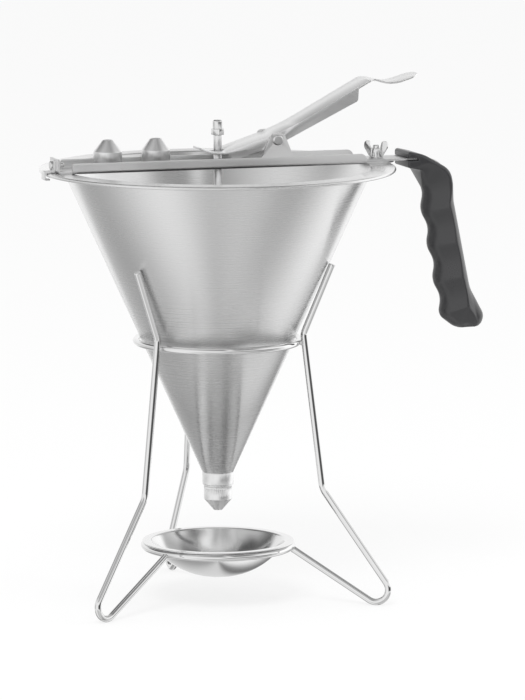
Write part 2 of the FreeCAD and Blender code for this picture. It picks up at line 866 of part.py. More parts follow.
def wing_nut():
    """A hub with a thread and two upright rounded wings."""
    body = new_body("wing_nut")
    hole = s.stud_radius + s.stud_gap
    hub = new_sketch(body, "hub_section", "XZ_Plane")
    draw(hub, [
        (hole, 0),
        (s.wing_hub_radius, 0),
        (s.wing_hub_top_radius, s.wing_hub_height),
        (hole, s.wing_hub_height),
    ])
    spin = body.newObject("PartDesign::Revolution", "hub_turn")
    spin.Profile = hub
    spin.ReferenceAxis = (hub, ["V_Axis"])
    spin.Angle = 360
    for hand, name in ((-1, "left"), (1, "right")):
        wing = new_sketch(body, f"{name}_wing", "XZ_Plane")
        root_x = (s.wing_hub_top_radius - s.wing_root) * hand
        draw(wing, [
            (root_x, s.wing_root),
            (s.wing_hub_radius * hand, s.wing_root),
            (s.wing_reach * hand, s.wing_shoulder, s.wing_shoulder_round),
            (s.wing_top_reach * hand, s.wing_height, s.wing_tip_round),
            (s.wing_hub_radius * hand, s.wing_height, s.wing_dip_round),
            (root_x, s.wing_hub_height - s.wing_root),
        ])
        pad(body, wing, s.wing_sheet)
    place(body, x=s.stud_x, z=strip_top, angle=DRIVING["wing_turn"])
    return body


wing_nut()


# Lever, pin and return spring

turn_back = kept("turn_back", s.fork_height + (s.lever_bend_x - s.fork_bend_x) * s.lever_slope)
tab_dip_x = kept("tab_dip_x", s.lever_end_x + s.tab_dip_reach)
tab_tip_x = kept("tab_tip_x", s.tab_dip_x + s.tab_tip_reach)


def back_height(x):
    """Height of the top of the lever's back past its bend."""
    return turn_back + (x - s.lever_bend_x) * s.lever_end_slope


lever_end_height = kept("lever_end_height", back_height(s.lever_end_x))
tab_dip_height = kept("tab_dip_height", lever_end_height - s.tab_dip_drop)
tab_tip_height = kept("tab_tip_height", tab_dip_height + s.tab_tip_rise)
end_drop = kept("end_drop", s.lever_sheet * slanted(s.lever_end_slope))


def lever():
    """A folded channel, open below: a slotted end with a raised tip, a bent back and a curved tab."""
    body = new_body("lever")
    plate = s.lever_sheet
    lug_bottom = s.pivot_height - s.flange_below_pin
    flange_left_height = s.fork_height - s.flange_left_drop
    flange_stop = s.flange_right_x + s.flange_right_lean
    fall = s.tab_dip_drop / s.tab_dip_reach
    climb = s.tab_tip_rise / s.tab_tip_reach
    fall_drop = plate * slanted(fall)
    climb_drop = plate * slanted(climb)
    dip_shift = (climb_drop - fall_drop) / (fall + climb)
    end_shift = (end_drop - fall_drop) / (s.lever_end_slope + fall)
    tip_height = s.fork_height + (s.fork_tip_x - s.fork_left) * s.fork_tip_slope
    tip_drop = plate * slanted(s.fork_tip_slope)
    tip_shift = (tip_drop - plate) / s.fork_tip_slope
    side = new_sketch(body, "lever_side", "XZ_Plane")
    draw(side, [
        (s.fork_left, tip_height),
        (s.fork_tip_x, s.fork_height, s.fork_bend_round),
        (s.fork_bend_x, s.fork_height, s.fork_bend_round),
        (s.lever_bend_x, turn_back, s.lever_bend_round),
        (s.lever_end_x, lever_end_height, s.lever_end_round),
        (tab_dip_x, tab_dip_height, s.tab_dip_round),
        (tab_tip_x, tab_tip_height),
        (tab_tip_x, tab_tip_height - climb_drop),
        (tab_dip_x + dip_shift, tab_dip_height - fall_drop - dip_shift * fall, s.tab_dip_round + plate),
        (s.lever_end_x + end_shift, back_height(s.lever_end_x + end_shift) - end_drop,
         s.lever_end_round - plate),
        (flange_stop, back_height(flange_stop) - end_drop),
        (s.flange_right_x, back_height(s.flange_right_x) - s.flange_right_depth, s.flange_right_round),
        (s.pivot_x, lug_bottom, s.flange_pin_round),
        (s.flange_left_x, flange_left_height, s.flange_left_round),
        (s.flange_left_x - s.flange_left_lean, s.fork_height - plate),
        (s.fork_tip_x - tip_shift, s.fork_height - plate, s.fork_bend_round + plate),
        (s.fork_left, tip_height - tip_drop),
    ])
    pad(body, side, s.lever_width)

    inner = new_sketch(body, "lever_inner", "XZ_Plane")
    low = flange_left_height - s.bar_height
    drop = plate * slanted(s.lever_slope)
    fork_shift = (drop - plate) / s.lever_slope
    bend_shift = (end_drop - drop) / (s.lever_end_slope - s.lever_slope)
    bend_height = turn_back + bend_shift * s.lever_slope - drop
    draw(inner, [
        (s.slot_left, s.fork_height - plate),
        (s.fork_bend_x + fork_shift, s.fork_height - plate, s.fork_bend_round + plate),
        (s.lever_bend_x + bend_shift, bend_height, s.lever_bend_round + plate),
        (flange_stop, back_height(flange_stop) - end_drop),
        (flange_stop, low),
        (s.slot_left, low),
    ])
    pocket(body, inner, s.lever_width - plate * 2)

    half = s.lever_width / 2
    tab_half = s.tab_width / 2
    whole_rise = tab_tip_height - s.rim_height
    for hand, name in ((-1, "near"), (1, "far")):
        outside = (half + PAST) * hand
        trim = new_sketch(body, f"{name}_trim", "XY_Plane", s.rim_height)
        shoulder = s.lever_end_x - s.tab_neck / 2
        draw(trim, [
            (shoulder, outside),
            (shoulder, half * hand),
            (shoulder + s.tab_neck, tab_half * hand),
            (tab_tip_x, tab_half * hand, s.tab_corner_round),
            (tab_tip_x, 0),
            (tab_tip_x + PAST, 0),
            (tab_tip_x + PAST, outside),
        ])
        pocket(body, trim, whole_rise + PAST, both_ways=False, reverse=True)
        corner = new_sketch(body, f"{name}_corner", "XY_Plane", s.rim_height)
        draw(corner, [
            (s.fork_left, outside),
            (s.fork_left - PAST, outside),
            (s.fork_left - PAST, 0),
            (s.fork_left, 0),
            (s.fork_left, half * hand, s.fork_corner_round),
            (s.fork_left + s.fork_corner_round + PAST, half * hand),
            (s.fork_left + s.fork_corner_round + PAST, outside),
        ])
        pocket(body, corner, whole_rise + PAST, both_ways=False, reverse=True)

    slot = new_sketch(body, "rod_slot", "XY_Plane", s.fork_height)
    half_slot = s.slot_width / 2
    draw(slot, [
        (s.slot_left, -half_slot, half_slot * NEARLY_FULL),
        (s.slot_right, -half_slot, half_slot * NEARLY_FULL),
        (s.slot_right, half_slot, half_slot * NEARLY_FULL),
        (s.slot_left, half_slot, half_slot * NEARLY_FULL),
    ])
    pocket(body, slot, plate * 5)

    pin_hole = new_sketch(body, "lever_pin_hole", "XZ_Plane")
    draw_circle(pin_hole, s.pivot_x, s.pivot_height, s.pin_radius + s.pin_gap)
    pocket(body, pin_hole, s.lever_width + 2 * PAST)
    return body


lever()

far_face = s.bar_width / 2
pin_stop = -far_face - s.ring_sheet - s.pin_end
head_seat = far_face + s.weld_gap
turned("pivot_pin", [
    (0, pin_stop),
    (s.pin_radius - s.edge_break, pin_stop),
    (s.pin_radius, pin_stop + s.edge_break),
    (s.pin_radius, head_seat),
    (s.pin_head_radius, head_seat),
    (s.pin_head_radius, head_seat + s.pin_head_height, s.pin_head_round),
    (0, head_seat + s.pin_head_height),
], x=s.pivot_x, z=s.pivot_height, axis=(1, 0, 0), angle=90)


def retaining_ring(name, bore, **where):
    """A spring ring with a mouth, as thick as the ring sheet."""
    body = new_body(name)
    outer = bore + s.ring_overhang
    flat = new_sketch(body, f"{name}_flat", "XY_Plane")
    draw_circle(flat, 0, 0, outer)
    draw_circle(flat, 0, 0, bore + s.weld_gap)
    pad(body, flat, s.ring_sheet, both_ways=False)
    mouth = new_sketch(body, f"{name}_mouth", "XY_Plane", s.ring_sheet / 2)
    half = bore / 2
    draw(mouth, [(0, -half), (outer + PAST, -half), (outer + PAST, half), (0, half)])
    pocket(body, mouth, s.ring_sheet * 2)
    place(body, **where)
    return body


retaining_ring("pin_ring", s.pin_radius, x=s.pivot_x, y=far_face + s.ring_sheet + s.weld_gap,
               z=s.pivot_height, axis=(1, 0, 0), angle=90)


def spring_point(turns, radius, wire_dia, height, count, end_pitch):
    """A point of the spring's centre line: close turns at both ends, open ones between."""
    middle_pitch = (height - wire_dia - 2 * end_pitch) / (count - 2)
    climb = min(turns, 1) * end_pitch + max(0, min(turns, count - 1) - 1) * middle_pitch
    climb = climb + max(0, turns - (count - 1)) * end_pitch
    angle = 2 * math.pi * turns
    return FreeCAD.Vector(radius * math.cos(angle), radius * math.sin(angle), climb + wire_dia / 2)


def arc_from_tangents(start, corner, end):
    """The arc from start to end that is tangent to the lines from both to their corner."""
    chord = (start + end) * 0.5
    half = (end - start).Length / 2
    lift = (corner - chord).Length
    radius = half * (corner - start).Length / lift
    middle = chord + (corner - chord).normalize() * (radius - math.sqrt(radius ** 2 - half ** 2))
    return Part.Arc(start, middle, end).toShape()


def biarc(start, start_way, end, end_way):
    """Two arcs that join two points and keep both directions."""
    gap = end - start
    ways = start_way + end_way
    square = 2 * (start_way.dot(end_way) - 1)
    linear = -2 * gap.dot(ways)
    if abs(square) < 1e-9:
        reach = gap.dot(gap) / -linear
    else:
        reach = (-linear - math.sqrt(linear ** 2 - 4 * square * gap.dot(gap))) / (2 * square)
    first = start + start_way * reach
    second = end - end_way * reach
    joint = (first + second) * 0.5
    return [arc_from_tangents(start, first, joint), arc_from_tangents(joint, second, end)]


def least_self_gap(points, wire_dia, per_turn):
    """The least clear distance between neighbouring turns of the wire."""
    nearest = min(
        (points[one] - points[other]).Length
        for one in range(len(points))
        for other in range(one + per_turn * 3 // 4, min(len(points), one + per_turn * 3 // 2))
    )
    return nearest - wire_dia


def return_spring():
    """A compression spring that stands on the bar's floor and lifts the lever beside its pin."""
    left_edge = s.pivot_x + s.spring_offset - s.spring_mean_radius - s.spring_wire / 2
    under_lever = s.fork_height + (left_edge - s.fork_bend_x) * s.lever_slope
    under_lever = under_lever - s.lever_sheet * slanted(s.lever_slope)
    height = (under_lever - s.spring_gap - bar_floor).number
    facts = (DRIVING["spring_mean_radius"], DRIVING["spring_wire"], height,
             DRIVING["spring_turns"], DRIVING["spring_end_pitch"])
    per_turn = 4
    steps = int(round(DRIVING["spring_turns"] * per_turn))
    places = [DRIVING["spring_turns"] * step / steps for step in range(steps + 1)]
    centres = [spring_point(turns, *facts) for turns in places]
    radius, wire_dia, _, count, end_pitch = facts
    middle_pitch = (height - wire_dia - 2 * end_pitch) / (count - 2)
    ways = []
    for turns in places:
        angle = 2 * math.pi * turns
        close = turns <= 1 - 0.5 / per_turn or turns >= count - 1 + 0.5 / per_turn
        joint = abs(turns - 1) < 0.5 / per_turn or abs(turns - count + 1) < 0.5 / per_turn
        pitch = (end_pitch + middle_pitch) / 2 if joint else end_pitch if close else middle_pitch
        way = FreeCAD.Vector(-math.sin(angle) * radius, math.cos(angle) * radius, pitch / (2 * math.pi))
        ways.append(way.normalize())
    edges = []
    for step in range(steps):
        edges += biarc(centres[step], ways[step], centres[step + 1], ways[step + 1])
    path = Part.Wire(edges)
    circle = Part.Circle(centres[0], ways[0], wire_dia / 2)
    section = Part.Wire([circle.toShape()])
    tube = path.makePipeShell([section], True, False)
    samples = path.discretize(Number=steps * 12 + 1)
    gap = least_self_gap(samples, wire_dia, per_turn * 12)
    print(f"return_spring: least gap between turns {gap:.2f} mm")
    spring = doc.addObject("Part::Feature", "return_spring")
    spring.Label = "return_spring"
    spring.Shape = tube
    bind(spring, "Placement.Base.x", s.pivot_x + s.spring_offset)
    bind(spring, "Placement.Base.z", bar_floor)
    return spring


return_spring()


# Valve rod, its plug, ring and cap nut

seat_line = s.collar_top - (s.collar_radius - s.seat_inset)
plug_drop = seat_line + s.seat_gap * root(Size(2))
plug_nose = plug_drop + s.plug_nose_radius
plug_shoulder = plug_drop + s.plug_radius
plug_top = plug_shoulder + s.plug_back_height
turned("valve_plug", [
    (0, plug_nose),
    (s.plug_nose_radius, plug_nose),
    (s.plug_radius, plug_shoulder, s.plug_round),
    (s.plug_radius, plug_shoulder + s.plug_band, s.plug_round),
    (s.rod_radius + s.plug_hub, plug_top),
    (s.rod_radius + s.hole_gap, plug_top),
    (s.rod_radius + s.hole_gap, plug_top - s.plug_socket_depth),
    (0, plug_top - s.plug_socket_depth),
])

ring_top = s.fork_height - s.lever_sheet - s.seat_gap
turned("valve_rod", [
    (0, plug_top - s.plug_socket_depth),
    (s.rod_radius, plug_top - s.plug_socket_depth),
    (s.rod_radius, ring_top - s.ring_sheet - s.weld_gap),
    (s.rod_neck_radius, ring_top - s.ring_sheet - s.weld_gap),
    (s.rod_neck_radius, ring_top + s.weld_gap),
    (s.rod_radius, ring_top + s.weld_gap),
    (s.rod_radius, s.cap_nut_seat),
    (s.rod_neck_radius, s.cap_nut_seat),
    (s.rod_neck_radius, s.cap_nut_seat + s.rod_neck_length),
    (0, s.cap_nut_seat + s.rod_neck_length),
])

retaining_ring("rod_ring", s.rod_neck_radius, z=ring_top - s.ring_sheet)


def rod_cap_nut():
    """A hexagon nut with a closed round top, on the rod's threaded neck."""
    body = new_body("rod_cap_nut")
    outline = new_sketch(body, "cap_nut_outline", "XY_Plane")
    draw(outline, hexagon(s.cap_nut_flats))
    pad(body, outline, s.cap_nut_hex_height, both_ways=False)
    dome = new_sketch(body, "cap_nut_dome", "XZ_Plane")
    dome_top = s.cap_nut_hex_height + s.cap_nut_dome_height
    draw(dome, [
        (0, s.cap_nut_hex_height - s.edge_break),
        (s.cap_nut_dome_radius, s.cap_nut_hex_height - s.edge_break),
        (s.cap_nut_dome_radius, dome_top, s.cap_nut_dome_round),
        (0, dome_top),
    ])
    spin = body.newObject("PartDesign::Revolution", "cap_nut_dome_turn")
    spin.Profile = dome
    spin.ReferenceAxis = (dome, ["V_Axis"])
    spin.Angle = 360
    bore = new_sketch(body, "cap_nut_bore", "XY_Plane")
    draw_circle(bore, 0, 0, s.rod_neck_radius + s.hole_gap)
    pocket(body, bore, s.rod_neck_length + s.edge_break, both_ways=False, reverse=True)
    place(body, z=s.cap_nut_seat)
    return body


rod_cap_nut()


# Grip and the strip inside it

strip_bend_x = kept("strip_bend_x", s.stud_x + s.strip_bend_reach)
strip_end = kept("strip_end", s.rim_height - s.strip_drop)
strip_long = kept("strip_long", s.strip_sheet * slanted(s.grip_lean))


def strip_corners(left, grow):
    """The strip's side outline, or the slot for it when it grows on every side."""
    low = bar_floor - grow
    high = strip_top + grow
    end = strip_end - grow
    run = s.grip_lean * (bar_floor - end)
    inner_top = strip_bend_x - strip_long - grow
    outer_top = strip_bend_x + grow
    return [
        (left, low),
        (inner_top, low, s.strip_bend_round - grow),
        (inner_top + run, end),
        (outer_top + run, end),
        (outer_top, high, s.strip_bend_round + s.strip_sheet + grow),
        (left, high),
    ]


def handle_strip():
    """A flat strip from the bar's floor to the grip, bent down inside it."""
    body = bent_strip("handle_strip", strip_corners(s.stud_x - s.strip_behind_stud, 0), s.tongue_width)
    hole = new_sketch(body, "strip_hole", "XY_Plane", bar_floor)
    draw_circle(hole, s.stud_x, 0, s.stud_radius + s.hole_gap)
    pocket(body, hole, s.strip_sheet * 4)
    return body


def grip_corner(name, side):
    """One corner of the grip's outline, from its reach and its rise or drop."""
    reach = getattr(s, f"{name}_reach")
    height = s.rim_height + getattr(s, f"{name}_{side}") * (1 if side == "rise" else -1)
    return (s.stud_x + reach, height, getattr(s, f"{name}_round"))


def grip_outline():
    """The grip's side: two lips, the back, the kicked tail and a row of finger grooves."""
    lip_x = s.stud_x + s.lip_reach
    mouth_x = s.stud_x + s.lip_mouth_reach
    corners = [
        (lip_x, s.rim_height + s.upper_lip_rise, s.lip_round),
        grip_corner("brow", "rise"),
        *(grip_corner(name, "drop") for name in ("shoulder", "waist", "tail", "heel", "hook")),
    ]
    for step in range(FINGER_STEPS, -1, -1):
        down = s.finger_pitch * (step / 2)
        across = s.stud_x + s.finger_reach + s.grip_lean * down
        if step % 2:
            across = across - s.finger_depth
        corners.append((across, s.rim_height - s.finger_top_drop - down, s.finger_round))
    corners += [
        grip_corner("neck", "drop"),
        (lip_x, s.rim_height - s.lower_lip_drop, s.lip_round),
        (lip_x, bar_floor - s.lip_gap, s.lip_round),
        (mouth_x, bar_floor - s.lip_gap),
        (mouth_x, strip_top + s.lip_gap),
        (lip_x, strip_top + s.lip_gap, s.lip_round),
    ]
    return corners


def handle_grip():
    """A moulded grip, flat at its sides, bevelled all round, sloped to its finger edge and slotted."""
    body = new_body("handle_grip")
    flat = s.grip_width / 2 - s.grip_bevel_depth
    core = new_sketch(body, "grip_side", "XZ_Plane")
    draw(core, grip_outline())
    pad(body, core, flat * 2)
    angle = math.degrees(math.atan(DRIVING["grip_bevel_inset"] / DRIVING["grip_bevel_depth"]))
    for hand, name in ((1, "near"), (-1, "far")):
        layer = new_sketch(body, f"{name}_bevel", "XZ_Plane", flat * hand)
        draw(layer, grip_outline())
        bevel = pad(body, layer, s.grip_bevel_depth, both_ways=False)
        bevel.Reversed = hand < 0
        bevel.TaperAngle = -angle
    half = s.grip_width / 2
    start = s.rim_height - s.finger_slope_drop
    edge = s.stud_x + s.finger_reach + s.grip_lean * (s.finger_slope_drop - s.finger_top_drop)
    wide = s.finger_slope_width
    rise = (half - s.finger_edge_half) / wide
    for hand, name in ((-1, "near"), (1, "far")):
        cut = new_sketch(body, f"{name}_slope", "XY_Plane", start)
        tilt(cut, s.grip_lean)
        bind(cut, "AttachmentOffset.Base.x", edge)
        draw(cut, [
            (-wide / 2, (s.finger_edge_half - wide / 2 * rise) * hand),
            (wide * 1.5, (half + wide / 2 * rise) * hand),
            (-wide / 2, (half + wide / 2 * rise) * hand),
        ])
        pocket(body, cut, s.tail_drop * 1.5, both_ways=False)
    slot = new_sketch(body, "grip_slot", "XZ_Plane")
    draw(slot, strip_corners(s.stud_x + s.lip_reach / 2, s.strip_gap))
    pocket(body, slot, s.tongue_width + s.strip_gap * 2)
    return body


handle_strip()
handle_grip()


# Checks and files

doc.recompute()
problems = [item.Name for item in doc.Objects if "Invalid" in item.State or "Error" in item.State]
if problems:
    raise RuntimeError(f"These objects failed: {problems}")

os.makedirs("parts", exist_ok=True)
pieces = [item for item in doc.Objects if item.TypeId in ("PartDesign::Body", "Part::Torus", "Part::Feature")]
for piece in pieces:
    shape = piece.Shape
    if shape.isNull() or not shape.isValid():
        raise RuntimeError(f"{piece.Label} has no valid shape")
    if len(shape.Solids) != 1:
        raise RuntimeError(f"{piece.Label} is {len(shape.Solids)} solids")
    shape.exportStep(f"parts/{piece.Label}.step")
    box = shape.BoundBox
    print(f"{piece.Label}: {shape.Volume:.0f} mm3, x {box.XMin:.1f} to {box.XMax:.1f}, "
          f"y {box.YMin:.1f} to {box.YMax:.1f}, z {box.ZMin:.1f} to {box.ZMax:.1f}")
print(f"{len(pieces)} pieces")
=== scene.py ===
import json
import math

import bmesh
import bpy
import numpy as np
from mathutils import Matrix, Vector


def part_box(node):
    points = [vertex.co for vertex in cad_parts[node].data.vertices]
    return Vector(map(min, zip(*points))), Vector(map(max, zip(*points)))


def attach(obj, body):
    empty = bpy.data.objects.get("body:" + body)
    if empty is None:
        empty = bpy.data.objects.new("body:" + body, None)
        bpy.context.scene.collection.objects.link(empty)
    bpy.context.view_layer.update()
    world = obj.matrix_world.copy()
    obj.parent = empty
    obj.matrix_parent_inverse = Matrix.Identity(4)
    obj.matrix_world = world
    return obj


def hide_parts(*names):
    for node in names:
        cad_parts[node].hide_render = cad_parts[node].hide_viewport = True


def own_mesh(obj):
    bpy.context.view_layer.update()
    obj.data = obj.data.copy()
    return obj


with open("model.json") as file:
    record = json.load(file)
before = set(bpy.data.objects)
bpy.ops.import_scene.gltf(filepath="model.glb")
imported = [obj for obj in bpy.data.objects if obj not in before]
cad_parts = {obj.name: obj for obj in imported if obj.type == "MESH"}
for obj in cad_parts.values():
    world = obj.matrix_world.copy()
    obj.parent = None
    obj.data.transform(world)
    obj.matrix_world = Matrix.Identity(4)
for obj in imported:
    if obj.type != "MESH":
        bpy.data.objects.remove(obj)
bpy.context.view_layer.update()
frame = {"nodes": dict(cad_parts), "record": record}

bl_info = {
    "name": "Batter dispenser",
    "version": (1, 0, 0),
    "blender": (4, 5, 0),
    "location": "3D View > Sidebar > Dispenser",
    "description": "Dresses a funnel batter dispenser on its wire stand",
    "category": "Object",
}

NODES = frame["nodes"]
BODY_OF = {node: body for body, nodes in frame["record"]["behaviour"]["bodies"].items() for node in nodes}
SLOT_OF = {part["node"]: part["material_slot"] for part in frame["record"]["subparts"]}
MM = 0.001
FULL_TURN = 2 * math.pi
QUARTER = 0.25
COLLAR_RADIUS = 9.7 * MM
# A CAD mesh is joined where its loose corners are this near, and its flat faces are merged below this turn
JOIN_REACH = 0.002 * MM
FLAT_TURN = math.radians(0.6)
# Edges that turn more than this are broken by a bevel
SHARP_TURN = math.radians(28)


def low(node, axis):
    """The lower end of a CAD node's box along an axis."""
    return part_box(node)[0][axis]


def high(node, axis):
    """The upper end of a CAD node's box along an axis."""
    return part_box(node)[1][axis]


# Shader maths

class Signal:
    """A socket that carries a number: the usual signs add Math nodes behind it."""

    def __init__(self, finish, socket):
        self.finish = finish
        self.socket = socket

    def maths(self, operation, *values):
        return self.finish.node("Math", {"operation": operation}, *values)

    def __add__(self, other):
        return self.maths("ADD", self, other)

    def __sub__(self, other):
        return self.maths("SUBTRACT", self, other)

    def __mul__(self, other):
        return self.maths("MULTIPLY", self, other)

    def __truediv__(self, other):
        return self.maths("DIVIDE", self, other)

    def power(self, other):
        return self.maths("POWER", self, other)

    def clamped(self):
        return self.finish.node("Clamp", {}, self)


class Finish:
    """A material or world whose nodes are added by expressions."""

    def __init__(self, name, world=False):
        store = bpy.data.worlds if world else bpy.data.materials
        self.block = store.new(name)
        self.block.use_nodes = True
        self.tree = self.block.node_tree
        self.tree.nodes.clear()
        kind = "World" if world else "Material"
        self.output = self.tree.nodes.new(f"ShaderNodeOutput{kind}")

    def node(self, kind, settings, *values, out=0, **named):
        """One node: its settings, the values or links of its sockets in order or by name, and the output wanted."""
        made = self.tree.nodes.new(f"ShaderNode{kind}")
        for setting, value in settings.items():
            setattr(made, setting, value)
        for place, value in list(enumerate(values)) + list(named.items()):
            if isinstance(place, str):
                place = place.replace("_", " ")
            self.feed(made.inputs[place], value)
        return Signal(self, made.outputs[out])

    def feed(self, socket, value):
        if isinstance(value, Signal):
            self.tree.links.new(value.socket, socket)
        elif value is not None:
            socket.default_value = value

    def panels_at(self, share, panels):
        """The grey of the panels round the room: share 0.5 is the camera's side, and the ends meet behind the part."""
        made = self.tree.nodes.new("ShaderNodeValToRGB")
        ramp = made.color_ramp
        ramp.interpolation = "EASE"
        while len(ramp.elements) < len(panels):
            ramp.elements.new(1.0)
        for element, (degrees, grey) in zip(ramp.elements, panels):
            element.position = degrees / 360 + 0.5
            element.color = (grey, grey, grey, 1)
        self.feed(made.inputs[0], share)
        return Signal(self, made.outputs[0])

    def place(self, x=1.0, y=1.0, z=1.0):
        """Object coordinates, in metres, stretched along each axis."""
        spot = self.node("TexCoord", {}, out="Object")
        return self.node("Mapping", {"vector_type": "POINT"}, spot, Scale=(x, y, z))

    def parts(self, vector):
        """The three numbers of a vector."""
        split = self.tree.nodes.new("ShaderNodeSeparateXYZ")
        self.tree.links.new(vector.socket, split.inputs[0])
        return [Signal(self, socket) for socket in split.outputs]

    def joined(self, x, y, z):
        return self.node("CombineXYZ", {}, x, y, z)

    def noise(self, vector, scale, detail=3.0, roughness=0.55):
        return self.node("TexNoise", {}, Vector=vector, Scale=scale, Detail=detail, Roughness=roughness)

    def blended(self, share, first, second):
        """Two colours by a share from 0 to 1."""
        made = self.tree.nodes.new("ShaderNodeMix")
        made.data_type = "RGBA"
        for place, value in ((0, share), (6, first), (7, second)):
            self.feed(made.inputs[place], value)
        return Signal(self, made.outputs[2])

    def surface(self, shader):
        self.tree.links.new(shader.socket, self.output.inputs["Surface"])
        return self.block


def shade(colour, factor):
    """A colour made lighter or darker by a factor, no channel above 1."""
    return tuple(min(1.0, channel * factor) for channel in colour[:3]) + (1.0,)


def tone(finish, share, colour, spread):
    """A colour that strays by a small share to either side of its own."""
    return finish.blended(share, shade(colour, 1 - spread), shade(colour, 1 + spread))


def metal(finish, colour, roughness, grain, strength, anisotropy=0.0):
    """A metal surface with its grain as a bump; an anisotropic one spreads light across lines round the Z axis."""
    normal = finish.node("Bump", {}, Strength=strength, Distance=0.02 * MM, Height=grain)
    return finish.surface(finish.node(
        "BsdfPrincipled", {}, Base_Color=colour, Metallic=1.0, Roughness=roughness,
        Anisotropic=anisotropy, Anisotropic_Rotation=QUARTER if anisotropy else 0.0, Normal=normal))


def spun_steel(name, colour, roughness, anisotropy, pale=None, painted_light_from=0.17, painted_light_at=0.10):
    """Satin steel turned on a lathe: hair lines run round the upright axis. It can grow paler from one height down to
    another: painted light, a paler band that stands in for light the metal reflects there."""
    finish = Finish(name)
    x, y, z = finish.parts(finish.place())
    radius = (x * x + y * y).power(0.5)
    lines = finish.noise(finish.joined(radius * 30.0, z * 60.0, 0.0), scale=60.0, detail=6.0, roughness=0.75)
    cloud = finish.noise(finish.place(), scale=22.0)
    rough = (lines * 0.10 + cloud * 0.06 + (roughness - 0.08)).clamped()
    steel = tone(finish, lines * 0.6 + cloud * 0.4, colour, 0.05)
    # Painted light: the colour grows paler towards the cone's narrow end, standing in for reflected light
    if pale is not None:
        height = finish.node("MapRange", {"clamp": True}, z, painted_light_from, painted_light_at, 0.0, 1.0)
        steel = finish.blended(height, steel, shade(pale, 1))
    return metal(finish, steel, rough, lines, 0.06, anisotropy)


def drawn_steel(name, colour, roughness):
    """Matt strip steel: fine lines run along the bar, with soft cloudy wear."""
    finish = Finish(name)
    lines = finish.noise(finish.place(14.0, 420.0, 420.0), scale=5.0, detail=5.0, roughness=0.7)
    cloud = finish.noise(finish.place(), scale=38.0, detail=4.0)
    rough = (lines * 0.14 + cloud * 0.10 + (roughness - 0.12)).clamped()
    return metal(finish, tone(finish, lines * 0.5 + cloud * 0.5, colour, 0.06), rough, lines, 0.10)


def polished_wire(name, colour, roughness):
    """Bright plated wire with faint drawing marks and a few dull spots."""
    finish = Finish(name)
    cloud = finish.noise(finish.place(), scale=90.0, detail=4.0)
    marks = finish.noise(finish.place(900.0, 900.0, 60.0), scale=1.0, detail=2.0)
    rough = (cloud * 0.07 + marks * 0.04 + (roughness - 0.05)).clamped()
    return metal(finish, tone(finish, cloud, colour, 0.03), rough, cloud, 0.03)


def moulded_plastic(name, colour, roughness):
    """Matt moulded plastic with a fine spark-eroded grain and handling polish."""
    finish = Finish(name)
    grain = finish.noise(finish.place(), scale=1900.0, detail=2.0)
    cloud = finish.noise(finish.place(), scale=35.0)
    rough = (grain * 0.10 + cloud * 0.14 + (roughness - 0.12)).clamped()
    normal = finish.node("Bump", {}, Strength=0.22, Distance=0.06 * MM, Height=grain)
    return finish.surface(finish.node(
        "BsdfPrincipled", {}, Base_Color=tone(finish, cloud * 0.6 + grain * 0.4, colour, 0.12),
        Roughness=rough, IOR=1.65, Normal=normal))


# Mesh helpers

def new_piece(name, points, faces, nodes=(), body=None, slot=None, material=None):
    """A mesh object at the origin that rides on a body and stands for CAD nodes."""
    mesh = bpy.data.meshes.new(name)
    mesh.from_pydata(points.reshape(-1, 3).tolist(), [], faces.tolist())
    mesh.update()
    piece = bpy.data.objects.new(name, mesh)
    bpy.context.scene.collection.objects.link(piece)
    tidy = bmesh.new()
    tidy.from_mesh(mesh)
    bmesh.ops.remove_doubles(tidy, verts=tidy.verts, dist=1e-6)
    bmesh.ops.recalc_face_normals(tidy, faces=tidy.faces)
    tidy.to_mesh(mesh)
    tidy.free()
    mesh.polygons.foreach_set("use_smooth", [True] * len(mesh.polygons))
    settle(piece, nodes, body, slot, material)
    return piece


def settle(piece, nodes, body, slot, material):
    """Gives a piece its material, and the body of the CAD nodes that it stands for."""
    piece.data.materials.clear()
    piece.data.materials.append(material)
    if nodes:
        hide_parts(*nodes)
        body = body or BODY_OF[nodes[0]]
        slot = slot or SLOT_OF[nodes[0]]
    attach(piece, body)


def grid_faces(rows, columns, round_rows=False, round_columns=False):
    """The four corners of each cell of a grid of points, row by row, with either way closed on itself."""
    row = np.arange(rows if round_rows else rows - 1)
    column = np.arange(columns if round_columns else columns - 1)
    here, there = row[:, None] * columns, ((row + 1) % rows)[:, None] * columns
    left, right = column[None, :], ((column + 1) % columns)[None, :]
    return np.stack([here + left, here + right, there + right, there + left], axis=-1).reshape(-1, 4)


def turned_points(profile, steps):
    """Each profile point (radius, height) goes round the upright axis: x = r cos a, y = r sin a, z = height."""
    angle = np.arange(steps) * FULL_TURN / steps
    radius, height = profile[:, 0:1], profile[:, 1:2]
    return np.stack([radius * np.cos(angle), radius * np.sin(angle), height + 0 * angle], axis=-1)


def turned_piece(name, profile, nodes, material, centre=(0, 0), steps=192, teeth=None):
    """A closed profile spun about an upright axis; teeth (low, high, count, depth) are waves cut into the outside
    between two heights: radius less depth x (0.5 + 0.5 cos(count x angle))."""
    points = turned_points(profile, steps)
    if teeth is not None:
        low_end, high_end, count, depth = teeth
        angle = np.arange(steps) * FULL_TURN / steps
        radius, height = profile[:, 0], profile[:, 1]
        outside = (radius > radius.max() - depth) & (height > low_end) & (height < high_end)
        cut = 1 - outside[:, None] * depth * (0.5 + 0.5 * np.cos(count * angle)) / radius.max()
        points[..., :2] *= cut[..., None]
    points[..., 0] += centre[0]
    points[..., 1] += centre[1]
    faces = grid_faces(points.shape[0], steps, True, True)
    return new_piece(name, points, faces, nodes, material=material)


